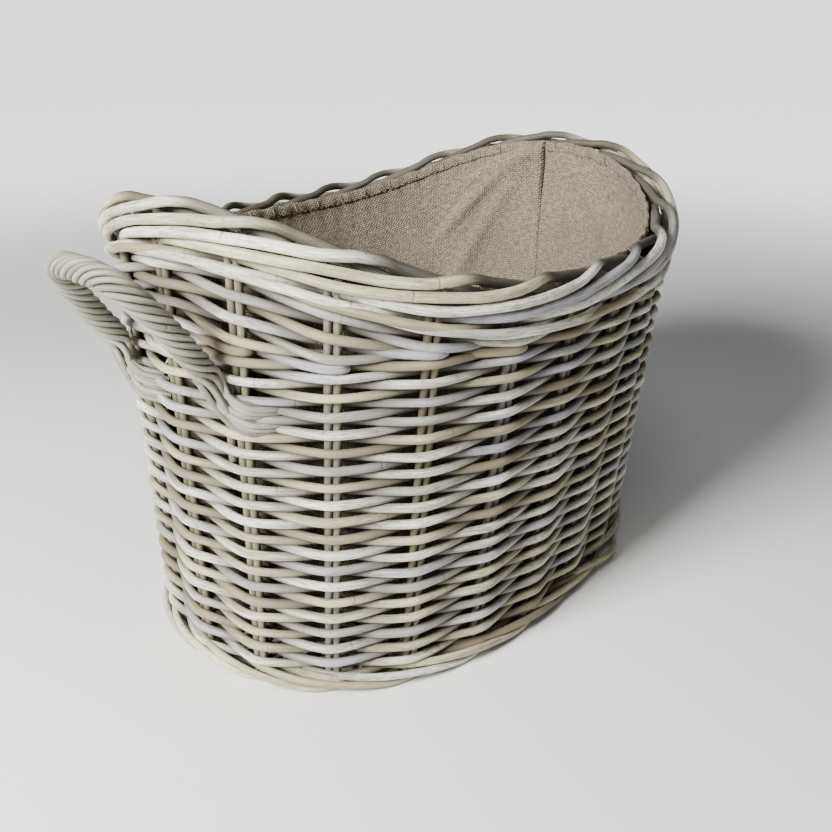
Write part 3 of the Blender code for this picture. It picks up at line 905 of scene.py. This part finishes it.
def rope_strands(rods, rope, chance, turned):
    """The twisted strands of one handle, each running on into the wall at both feet."""
    centre, feet = rope_stretch(rope)
    _, cross, side = frames_along(centre)
    lengths = np.concatenate([[0.0], np.cumsum(np.linalg.norm(np.diff(centre, axis=0), axis=1))])
    helices = []
    for strand in range(rope.strands):
        angle = 2 * math.pi * strand / rope.strands - 2 * math.pi * lengths / rope.lay
        radius = rope.radius * (1 + 0.035 * np.sin(strand * 2.1 + lengths * 31))
        outward = np.cos(angle)[:, None] * cross + np.sin(angle)[:, None] * side
        helices.append(centre + outward * radius[:, None])
    first_ranks = np.argsort(np.argsort([-helix[0][2] for helix in helices]))
    last_ranks = np.argsort(np.argsort([-helix[-1][2] for helix in helices]))
    for strand, helix in enumerate(helices):
        first = tail_line(rope, feet[0], first_ranks[strand], 1, helix[0], helix[0] - helix[1])
        last = tail_line(rope, feet[1], last_ranks[strand], 1, helix[-1], helix[-1] - helix[-2])
        line = np.concatenate([first[::-1], helix, last])
        tone = chance.choice(ROPE_TONES)
        diameter = rope.strand * chance.uniform(0.96, 1.05)
        rods.add(cut_corners(line, 2) * turned, diameter, tone, taper=0.04)


# Base

def base_weavers(rods, weave, chance):
    """Rods laid along the basket, over and under the cross sticks."""
    sticks = sorted((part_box(node)[0].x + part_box(node)[1].x) / 2 for node in STICK_NODES)
    spacing = sticks[1] - sticks[0]
    middle_height = sum(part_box(STICK_NODES[0])[k].z for k in (0, 1)) / 2
    pitch = weave.base_rod * 1.04
    width = HALF_WIDTH - WALL - weave.base_rod
    inset = WALL + 0.002
    shortest = 0.03
    for row in range(int(2 * width / pitch) + 1):
        y = -width + row * pitch
        share = 1 - abs(y / (HALF_WIDTH - inset)) ** OVAL_POWER
        length = (HALF_LENGTH - inset) * share ** (1 / OVAL_POWER)
        if length < shortest:
            continue
        x = np.arange(-length, length, 0.005)
        swing = np.cos(math.pi * ((x - sticks[0]) / spacing + row % 2))
        lift = (weave.base_rod + STAKE_ROD) / 2 * np.sin(math.pi / 2 * swing)
        line = np.stack([x, y + wander(chance, x, 0.0003, 0.2), middle_height + lift], -1)
        rods.add(line, weave.base_rod * chance.uniform(0.93, 1.03))


def base_sticks(rods):
    for node in STICK_NODES:
        low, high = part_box(node)
        x = (low.x + high.x) / 2
        z = (low.z + high.z) / 2
        rods.add(np.array([[x, low.y, z], [x, high.y, z]]), 0.0079, taper=0.02)


# Liner

def liner_depth(cloth, s, drop):
    """How far in the cloth hangs: close under its hem, then in soft pleats, held off the wall."""
    slack = ease((drop - 0.004) / 0.10) * (1 - 0.45 * ease((drop - 0.20) / 0.15))
    pleats = np.zeros_like(s)
    chance = random.Random(41)
    for wave, size in ((5, 0.30), (9, 0.32), (14, 0.26), (23, 0.14)):
        lean = chance.uniform(-2.6, 2.6)
        phase = chance.uniform(0, 2 * math.pi)
        pleats += size * np.sin(2 * math.pi * (wave * s / STAKE_COUNT) + lean * drop * 6 + phase)
    puckers = 0.0011 * np.sin(2 * math.pi * s * 3.0) * np.exp(-drop / 0.02)
    return cloth.depth + cloth.fold_size * (0.9 + pleats) * slack + puckers + drag_folds(s, drop)


def seam_places():
    """Places of the liner's two upright seams, at the middles of the ends."""
    return [s_at_turn(SEAM_TURN), s_at_turn(SEAM_TURN + 0.5)]


def drag_folds(s, drop):
    """A pinched tuck down the top of each seam, and slanting folds that fan out from it."""
    total = np.zeros_like(s)
    for seam in seam_places():
        away = (s - seam + STAKE_COUNT / 2) % STAKE_COUNT - STAKE_COUNT / 2
        tuck = 1 - ease((drop - 0.040) / 0.05)
        total += 0.0085 * np.exp(-((away - 0.085) / 0.080) ** 2) * (0.22 + 0.78 * tuck)
        total -= 0.0035 * np.exp(-((away + 0.03) / 0.06) ** 2) * tuck
        for slope, size, reach in ((2.2, 0.0075, 2.2), (3.7, 0.0055, 1.8), (1.1, 0.0045, 3.2)):
            path = away - 0.12 - slope * drop * 9
            fold = np.exp(-(path / 0.20) ** 2) * ease(drop / 0.018) * ease((reach - away) / 0.9)
            total += size * fold * ease(away / 0.1 + 1)
        path = away + 0.15 + 1.6 * drop * 9
        total += 0.0028 * np.exp(-(path / 0.22) ** 2) * ease(drop / 0.02) * ease((away + 1.8) / 0.8)
    return total


def liner_surface(cloth):
    """Cloth bag as one grid: down the wall, round the bottom edge and in over the base."""
    around = cloth.columns + 1
    s = seam_places()[0] + np.arange(around) * STAKE_COUNT / cloth.columns
    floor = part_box("liner_base_panel")[0].z
    rounding = 0.022
    top = rim_height(s) - cloth.drop
    rows = []
    downs = []
    for k in range(cloth.rows + 1):
        height = top + (floor + rounding - top) * (k / cloth.rows)
        down = top - height
        rows.append(wall(s, height, liner_depth(cloth, s, down)))
        downs.append(down)
    last_down = downs[-1]
    bottom_depth = liner_depth(cloth, s, last_down)
    for angle in np.linspace(0, math.pi / 2, 7)[1:]:
        height = np.full(around, floor + rounding * (1 - math.sin(angle)))
        depth = bottom_depth + rounding * (1 - math.cos(angle))
        rows.append(wall(s, height, depth))
        downs.append(last_down + rounding * angle)
    edge = rows[-1]
    for part in np.linspace(0, 1, cloth.floor_rings + 1)[1:-1]:
        ring = edge * (1 - part)
        wave = 1 + np.sin(2 * math.pi * 3 * s / STAKE_COUNT + 9 * part)
        ring[:, 2] = floor + 0.0016 * wave * math.sin(math.pi * part)
        rows.append(ring)
        downs.append(downs[-1] + np.linalg.norm(edge, axis=1) / cloth.floor_rings)
    return s, rows, downs, floor


def grid_faces(rows, around):
    """Quads of a grid of points laid row by row."""
    k = np.arange(around - 1)
    base = (np.arange(rows - 1) * around)[:, None]
    corners = (base + k, base + around + k, base + around + k + 1, base + k + 1)
    return np.stack(corners, -1).reshape(-1, 4)


def liner_mesh(cloth):
    """Points and faces of the bag, with each point's place in the cloth's weave."""
    s, rows, downs, floor = liner_surface(cloth)
    around = len(s)
    points = np.concatenate(rows + [np.array([[0.0, 0.0, floor]])])
    cloth_x = np.concatenate([np.tile(s * SPACING, len(rows)), [0.0]])
    cloth_y = np.concatenate(downs + [np.zeros(1)])
    quads = grid_faces(len(rows), around)
    k = np.arange(around - 1)
    last = (len(rows) - 1) * around
    fan = np.stack([last + k, np.full(around - 1, len(points) - 1), last + k + 1], -1)
    return points, quads.tolist() + fan.tolist(), cloth_x, cloth_y


def cloth_object(name, mesh_parts, floor_from, finishes, thickness):
    """A thin sheet with its weave coordinates; over the floor the weave runs square to the basket.

    finishes holds the material of the side in the open, then that of the side against the weave, which
    may be a copy darkened with painted shade.
    """
    points, faces, cloth_x, cloth_y = mesh_parts
    mesh = bpy.data.meshes.new(name)
    mesh.from_pydata(points.tolist(), [], faces)
    over_floor = points[:, 2] < floor_from
    x = np.where(over_floor, points[:, 0], cloth_x)
    y = np.where(over_floor, points[:, 1], cloth_y)
    weave = mesh.attributes.new("cloth", "FLOAT_VECTOR", "POINT")
    weave.data.foreach_set("vector", np.stack([x, y, 0 * x], -1).astype(np.float32).ravel())
    for material in finishes:
        mesh.materials.append(material)
    mesh.shade_smooth()
    piece = add_object(name, mesh)
    shell = piece.modifiers.new("thickness", "SOLIDIFY")
    shell.thickness = thickness
    shell.offset = 0.0
    shell.material_offset = -1
    mesh.polygons.foreach_set("material_index", np.ones(len(mesh.polygons), np.int32))
    return piece


def hem_mesh(cloth):
    """The folded hem: up the outside, over the top and down the inside."""
    s = seam_places()[0] + np.arange(cloth.columns + 1) * STAKE_COUNT / cloth.columns
    top = rim_height(s) - cloth.drop + 0.0012 + 0.0009 * np.sin(2 * math.pi * s * 2.3) * np.sin(s)
    puff = 0.0007 * np.sin(2 * math.pi * s * 3.0)
    depth = cloth.depth - 0.0012
    profile = [
        (-0.0002, 0.0125), (-0.0004, 0.008), (-0.0002, 0.004), (0.0006, 0.0008), (0.0017, 0.0),
        (0.0028, 0.0010), (0.0034, 0.004), (0.0035, 0.007), (0.0032, 0.010), (0.0026, 0.0122),
    ]
    points = np.concatenate([wall(s, top - fall, depth + into + puff) for into, fall in profile])
    faces = grid_faces(len(profile), len(s))[:, [0, 3, 2, 1]]
    cloth_y = np.repeat([fall + into for into, fall in profile], len(s))
    return points, faces.tolist(), np.tile(s * SPACING, len(profile)), cloth_y


def running_stitch(rods, cloth):
    """Thread along the hem, in and out of the cloth."""
    stitch_length = 0.066
    count = int(GIRTH / 0.0092)
    for k in range(count):
        start = STAKE_COUNT * k / count
        s = np.linspace(start, start + stitch_length, 6)
        arch = np.sin(np.linspace(0, math.pi, 6))
        top = rim_height(s) - cloth.drop
        rods.add(wall(s, top - 0.0100, cloth.depth + 0.0020 + 0.0008 * arch), 0.0009, swell=0.0)


def border_stitches(rods, cloth):
    """Loops of thread that hold the hem to the border, two for each stake spacing."""
    falls = np.array([0.0075, 0.004, -0.0005, -0.001, 0.001])
    depths = cloth.depth + np.array([0.0036, 0.0042, 0.0022, -0.0012, -0.0028])
    along = np.array([0, 0.01, 0.02, 0.03, 0.035])
    for k in range(STAKE_COUNT * 2):
        s = k / 2 + 0.21
        top = float(rim_height(s)) - cloth.drop
        rods.add(cut_corners(wall(s + along, top - falls, depths), 1), 0.0011, swell=0.0)


def cut_area(cloth):
    """Area of the cloth as cut: two wall panels and an oval base panel."""
    oval_share = 0.82
    s = np.linspace(0, STAKE_COUNT, 400)
    mean_height = float(np.mean(rim_height(s))) - cloth.drop
    base_panel = oval_share * 4 * (HALF_LENGTH - cloth.depth) * (HALF_WIDTH - cloth.depth)
    return hung_girth(cloth) * mean_height + base_panel


def hung_girth(cloth):
    """Length round the wall where the cloth hangs."""
    return GIRTH - 2 * math.pi * cloth.depth


# Settings

def size_setting(name, description, default):
    return FloatProperty(name=name, description=description, default=default, unit="LENGTH")


def angle_setting(name, description, default):
    return FloatProperty(name=name, description=description, default=default, subtype="ANGLE")


def colour_setting(name, description, *default):
    return FloatVectorProperty(name=name, description=description, default=default, subtype="COLOR")


class WeaveSettings(bpy.types.PropertyGroup):
    """Sizes of the rods and rows."""
    rod: size_setting("Siding rod", "Diameter of a siding rod", 0.0079)
    row_pitch: size_setting("Row pitch", "Height of one row", 0.008)
    first_row: size_setting("First row", "Height of the lowest row's middle", 0.0387)
    rods_per_row: IntProperty(
        name="Rods in a row", description="Rods that make up one full row", default=3, min=1,
    )
    border_rod: size_setting("Border rod", "Diameter of a rim border rod", 0.0094)
    base_rod: size_setting("Base rod", "Diameter of a base weaver", 0.006)
    loose_foot_stake: IntProperty(
        name="Loose foot rod", description="Stake whose foot rod stands a little proud", default=16,
    )


class RopeSettings(bpy.types.PropertyGroup):
    """Sizes of the two handles."""
    strand: size_setting("Strand", "Diameter of a rope strand", 0.0053)
    radius: size_setting("Strand radius", "From the bow's middle to a strand's middle", 0.0084)
    core: size_setting("Bow", "Diameter of the bow inside the rope", 0.009)
    strands: IntProperty(name="Strands", description="Strands laid round the bow", default=8, min=3)
    lay: size_setting("Lay", "Rope length for one twist", 0.075)
    foot_offset: size_setting("Foot offset", "From a stake pair to the bow beside it", 0.0142)
    foot_height: size_setting("Foot height", "Height at which the rope leaves the wall", 0.288)
    out: size_setting("Reach", "How far the loop stands out", 0.0735)
    up: size_setting("Rise", "How far the loop rises", 0.098)
    squareness: FloatProperty(
        name="Squareness", description="2 is an oval loop, more is squarer", default=3.6,
    )


class ClothSettings(bpy.types.PropertyGroup):
    """Sizes of the liner."""
    depth: size_setting("Depth", "From the weave's outer face to the cloth", BORDER_DEPTH + 0.0032)
    drop: size_setting("Drop", "From the rim's top to the hem", 0.0125)
    fold_size: size_setting("Fold size", "Depth of the soft pleats", 0.0058)
    columns: IntProperty(name="Columns", description="Cloth columns round the basket", default=396)
    rows: IntProperty(name="Rows", description="Cloth rows down the wall", default=76)
    floor_rings: IntProperty(name="Floor rings", description="Cloth rings over the base", default=22)


class LookSettings(bpy.types.PropertyGroup):
    """Colours of the finishes."""
    white_wash: colour_setting("White wash", "Palest rods", 0.78, 0.77, 0.69)
    grey_wash: colour_setting("Grey wash", "Grey rods", 0.30, 0.30, 0.275)
    lavender_wash: colour_setting("Lavender wash", "Blue-grey rods", 0.33, 0.335, 0.405)
    cream_cane: colour_setting("Cream cane", "Cream rods", 0.57, 0.54, 0.37)
    tan_cane: colour_setting("Tan cane", "Tan rods", 0.285, 0.255, 0.15)
    brown_cane: colour_setting("Brown cane", "Brown rods", 0.16, 0.128, 0.076)
    rope_pale: colour_setting("Pale rope", "Palest handle rods", 0.43, 0.43, 0.385)
    rope_grey: colour_setting("Grey rope", "Most handle rods", 0.28, 0.282, 0.25)
    rope_dark: colour_setting("Dark rope", "Darkest handle rods", 0.17, 0.165, 0.135)
    bare_cane: colour_setting("Bare cane", "Cane where the wash is worn off", 0.21, 0.175, 0.12)
    grime: colour_setting("Grime", "Dirt left on the wash", 0.125, 0.118, 0.085)
    # Painted shade: the dark colour that the rods are mixed towards deep in the weave and between rope
    # strands.
    shaded_cane: colour_setting("Shaded cane", "Unwashed cane deep in the weave", 0.045, 0.038, 0.027)
    joint_colour: colour_setting("Joint", "Rings at the joints of the cane", 0.16, 0.125, 0.095)
    cut_cane: colour_setting("Cut end", "Pith of a cut rod", 0.72, 0.68, 0.58)
    jute: colour_setting("Jute", "Hessian yarn", 0.245, 0.214, 0.160)
    jute_light: colour_setting("Light jute", "Pale slubs", 0.36, 0.325, 0.255)
    jute_dark: colour_setting("Dark jute", "Dark yarn", 0.150, 0.126, 0.090)
    jute_shadow: colour_setting("Cloth gaps", "Holes between the yarns", 0.10, 0.075, 0.05)
    # Painted shade: the dark colour that the cloth's side against the weave is mixed towards.
    jute_back_shade: colour_setting("Cloth back", "Dusty side against the weave", 0.03, 0.025, 0.018)
    yarn_pitch: size_setting("Yarn pitch", "Distance between yarns", 0.0024)
    floor: colour_setting("Floor", "Studio floor", 0.80, 0.80, 0.80)
    cove_glow: FloatProperty(
        name="Cove glow", description="Light of the floor far from the basket", default=1.9,
    )


class StudioSettings(bpy.types.PropertyGroup):
    """Camera and lights."""
    azimuth: angle_setting("Azimuth", "Camera's turn round the basket", math.radians(-51.62))
    elevation: angle_setting("Elevation", "Camera's height over the horizon", math.radians(19.506))
    distance: size_setting("Distance", "From the camera to its aim", 1.009)
    aim_height: size_setting("Aim height", "Height that the camera aims at", 0.22)
    roll: angle_setting("Roll", "Camera's roll", math.radians(0.18))
    lens: FloatProperty(name="Lens", description="Focal length in millimetres", default=40.46)
    shift_x: FloatProperty(name="Shift X", description="Camera shift across", default=0.0056)
    shift_y: FloatProperty(name="Shift Y", description="Camera shift up", default=-0.071)
    sky: FloatProperty(name="Sky", description="Strength of the soft surround", default=0.07)
    backdrop: FloatProperty(name="Backdrop", description="Brightness of the plain backdrop", default=1.96)


# Operators

class BASKET_OT_studio(bpy.types.Operator):
    """Make the camera, the lights and the pale floor"""
    bl_idname = "basket.studio"
    bl_label = "Studio"

    def execute(self, context):
        studio = context.scene.basket_studio
        self.camera(context.scene, studio)
        self.panel("key_light", (-2.05, 0.12, 1.35), (0.0, 0.0, 0.22), 0.8, 196.0, (1.0, 0.985, 0.96))
        self.panel("top_light", (-0.5, -0.5, 2.3), (0.0, 0.0, 0.2), 1.3, 13.0, (1.0, 1.0, 1.0))
        self.panel("fill_light", (-0.2, -2.3, 1.1), (0.0, 0.0, 0.2), 1.4, 2.5, (0.95, 0.97, 1.0))
        self.surround(context.scene, studio)
        bpy.ops.mesh.primitive_grid_add(x_subdivisions=8, y_subdivisions=8, size=24.0)
        floor = context.object
        floor.name = "studio_floor"
        floor.location.z = -0.0006
        floor.data.materials.append(floor_finish(context.scene.basket_look))
        return {"FINISHED"}

    def camera(self, scene, studio):
        data = bpy.data.cameras.new("studio_camera")
        data.lens = studio.lens
        data.sensor_width = 36.0
        data.shift_x = studio.shift_x
        data.shift_y = studio.shift_y
        camera = add_object("studio_camera", data)
        a, e = studio.azimuth, studio.elevation
        back = Vector((math.sin(a) * math.cos(e), -math.cos(a) * math.cos(e), math.sin(e)))
        camera.location = Vector((0, 0, studio.aim_height)) + back * studio.distance
        camera.rotation_mode = "QUATERNION"
        camera.rotation_quaternion = (-back).to_track_quat("-Z", "Y") @ Quaternion((0, 0, 1), studio.roll)
        scene.camera = camera

    def surround(self, scene, studio):
        """Soft even light, behind a plain pale backdrop that only the camera sees."""
        scene.world = bpy.data.worlds.new("soft_surround")
        scene.world.use_nodes = True
        tree = Nodes(scene.world.node_tree)
        tree.nodes.remove(tree.nodes["Background"])
        sky = tree.add(
            "ShaderNodeBackground", {}, {"Color": solid((0.94, 0.96, 1.0)), "Strength": studio.sky},
        )
        backdrop = tree.add(
            "ShaderNodeBackground", {}, {"Color": solid((1.0, 1.0, 1.0)), "Strength": studio.backdrop},
        )
        seen = tree.add("ShaderNodeLightPath", {}, {}).outputs["Is Camera Ray"]
        mix = tree.add("ShaderNodeMixShader", {}, {0: seen, 1: sky.outputs[0], 2: backdrop.outputs[0]})
        tree.links.new(mix.outputs[0], tree.nodes["World Output"].inputs["Surface"])

    def panel(self, name, location, aim, size, power, colour):
        light = bpy.data.lights.new(name, "AREA")
        light.size = size
        light.energy = power
        light.color = colour
        lamp = add_object(name, light)
        lamp.location = location
        lamp.rotation_euler = (Vector(aim) - Vector(location)).to_track_quat("-Z", "Y").to_euler()


class BASKET_OT_stakes(bpy.types.Operator):
    """Set up the stake pairs"""
    bl_idname = "basket.stakes"
    bl_label = "Stakes"

    def execute(self, context):
        look = context.scene.basket_look
        slots = ("rattan_grey", "rattan_pale", "rattan_blue_grey")
        for stake, node in enumerate(STAKE_NODES):
            rods = Rods(sides=10, step=0.012, seed=300 + stake)
            stake_rods(rods, stake)
            place_rods(rods, f"{node}_rods", look, slots[stake % 3], node)
        return {"FINISHED"}


class BASKET_OT_siding(bpy.types.Operator):
    """Weave the full rows of siding"""
    bl_idname = "basket.siding"
    bl_label = "Siding"

    def execute(self, context):
        weave = context.scene.basket_weave
        look = context.scene.basket_look
        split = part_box("siding_weave_lower")[1].z
        lower = Rods(sides=9, step=0.0056, seed=11)
        upper = Rods(sides=9, step=0.0056, seed=12)
        chance = random.Random(5)
        for height, row in level_rows(weave):
            siding_row(lower if height < split else upper, weave, chance, height, row)
        place_rods(lower, "siding_weave_lower_rods", look, "rattan_grey", "siding_weave_lower")
        place_rods(upper, "siding_weave_upper_rods", look, "rattan_pale", "siding_weave_upper")
        return {"FINISHED"}


class BASKET_OT_packing(bpy.types.Operator):
    """Weave the short rows that lift the rim at each end"""
    bl_idname = "basket.packing"
    bl_label = "End packing"

    def execute(self, context):
        weave = context.scene.basket_weave
        look = context.scene.basket_look
        for side, turn, seed in (("left", 0.5, 21), ("right", 1.0, 22)):
            rods = Rods(sides=9, step=0.005, seed=seed)
            chance = random.Random(7)
            middle = s_at_turn(turn)
            for level in range(packed_rows(weave, round(middle))):
                packing_row(rods, weave, chance, middle, level)
            node = f"end_packing_{side}"
            place_rods(rods, f"{node}_rods", look, "rattan_blue_grey", node)
        return {"FINISHED"}


class BASKET_OT_wales(bpy.types.Operator):
    """Weave the lowest rows over the foot and twist the three-rod wale under the rim"""
    bl_idname = "basket.wales"
    bl_label = "Wales"

    def execute(self, context):
        weave = context.scene.basket_weave
        look = context.scene.basket_look
        foot = Rods(sides=9, step=0.0056, seed=31)
        chance = random.Random(8)
        for row in range(-3, 0):
            siding_row(foot, weave, chance, weave.first_row + row * weave.row_pitch, row)
        place_rods(foot, "foot_wale_rods", look, "rattan_grey", "foot_wale")
        rim = Rods(sides=10, step=0.005, seed=32)
        wale_rods(rim, weave, random.Random(9))
        place_rods(rim, "rim_wale_rods", look, "rattan_blue_grey", "rim_wale")
        return {"FINISHED"}


class BASKET_OT_borders(bpy.types.Operator):
    """Plait the rim border and the foot border"""
    bl_idname = "basket.borders"
    bl_label = "Borders"

    def execute(self, context):
        weave = context.scene.basket_weave
        look = context.scene.basket_look
        chance = random.Random(10)
        borders = (("rim_border", border_rod, 51), ("foot_border", foot_rod, 52))
        for node, lay_rod, seed in borders:
            rods = Rods(sides=12, step=0.0042, seed=seed)
            for stake in range(STAKE_COUNT):
                lay_rod(rods, weave, chance, stake)
            place_rods(rods, f"{node}_rods", look, "rattan_pale", node)
        return {"FINISHED"}


class BASKET_OT_handles(bpy.types.Operator):
    """Lay the two rope handles and weave their strands away"""
    bl_idname = "basket.handles"
    bl_label = "Handles"

    def execute(self, context):
        rope = context.scene.basket_rope
        look = context.scene.basket_look
        for side in ("left", "right"):
            turned = HALF_TURN if side == "right" else np.ones(3)
            rods = Rods(sides=9, step=0.0036, seed=61, recess=in_the_rope(rope, turned))
            rope_strands(rods, rope, random.Random(13), turned)
            wrap = rods.build(f"handle_{side}_rope", rope_rattan(look), cut_end(look))
            place(wrap, "rattan_grey", f"handle_{side}_wrap")
            bow = Rods(sides=10, step=0.005, seed=62)
            bow.add(handle_core(rope)[0] * turned, rope.core * 0.97, tone=0.9)
            place_rods(bow, f"handle_{side}_bow_rod", look, "rattan_brown", f"handle_{side}_bow")
        return {"FINISHED"}


class BASKET_OT_base(bpy.types.Operator):
    """Weave the base over its cross sticks"""
    bl_idname = "basket.base"
    bl_label = "Base"

    def execute(self, context):
        look = context.scene.basket_look
        weavers = Rods(sides=8, step=0.0065, seed=71, recess=in_the_open)
        base_weavers(weavers, context.scene.basket_weave, random.Random(14))
        place_rods(weavers, "base_weave_rods", look, "rattan_grey", "base_weave")
        sticks = Rods(sides=10, step=0.02, seed=72, recess=in_the_open)
        base_sticks(sticks)
        place_rods(sticks, "base_stick_rods", look, "rattan_brown", *STICK_NODES)
        return {"FINISHED"}


class BASKET_OT_liner(bpy.types.Operator):
    """Hang the hessian liner, with its hem and stitches"""
    bl_idname = "basket.liner"
    bl_label = "Liner"

    def execute(self, context):
        cloth = context.scene.basket_cloth
        look = context.scene.basket_look
        cloth_side = hessian(look, 1.0)
        # the bag's side against the weave gets the copy darkened with painted shade, so the gaps in the
        # weave look dark
        back_side = hessian(look, 0.3)
        floor_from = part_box("liner_base_panel")[0].z + 0.006
        liner = cloth_object("liner_bag", liner_mesh(cloth), floor_from, (cloth_side, back_side), 0.0012)
        place(liner, "hessian", "liner_front_panel", "liner_back_panel", "liner_base_panel")
        hem = cloth_object("liner_hem_fold", hem_mesh(cloth), -1.0, (cloth_side, cloth_side), 0.0009)
        place(hem, "hessian", "liner_hem")
        thread = finish_named("sewing_thread", thread_finish, look)
        rods = Rods(sides=6, step=0.0014, seed=81, recess=in_the_open)
        running_stitch(rods, cloth)
        border_stitches(rods, cloth)
        stitches = rods.build("liner_stitches", thread, thread)
        place(stitches, "hessian")
        cut_area(cloth)
        return {"FINISHED"}


class BASKET_PT_panel(bpy.types.Panel):
    """Lists the basket's making steps"""
    bl_idname = "BASKET_PT_panel"
    bl_label = "Wicker log basket"
    bl_space_type = "VIEW_3D"
    bl_region_type = "UI"
    bl_category = "Basket"

    def draw(self, context):
        for operator in OPERATORS:
            self.layout.operator(operator.bl_idname)


OPERATORS = (
    BASKET_OT_studio, BASKET_OT_base, BASKET_OT_stakes, BASKET_OT_borders, BASKET_OT_wales,
    BASKET_OT_siding, BASKET_OT_packing, BASKET_OT_handles, BASKET_OT_liner,
)
SETTINGS = {
    "basket_weave": WeaveSettings,
    "basket_rope": RopeSettings,
    "basket_cloth": ClothSettings,
    "basket_look": LookSettings,
    "basket_studio": StudioSettings,
}


def register():
    for settings in SETTINGS.values():
        bpy.utils.register_class(settings)
    for name, settings in SETTINGS.items():
        setattr(bpy.types.Scene, name, PointerProperty(type=settings))
    for operator in OPERATORS:
        bpy.utils.register_class(operator)
    bpy.utils.register_class(BASKET_PT_panel)


def unregister():
    bpy.utils.unregister_class(BASKET_PT_panel)
    for operator in reversed(OPERATORS):
        bpy.utils.unregister_class(operator)
    for name, settings in SETTINGS.items():
        delattr(bpy.types.Scene, name)
        bpy.utils.unregister_class(settings)


def main():
    register()
    for operator in OPERATORS:
        group, name = operator.bl_idname.split(".")
        getattr(getattr(bpy.ops, group), name)()


if __name__ == "__main__":
    main()
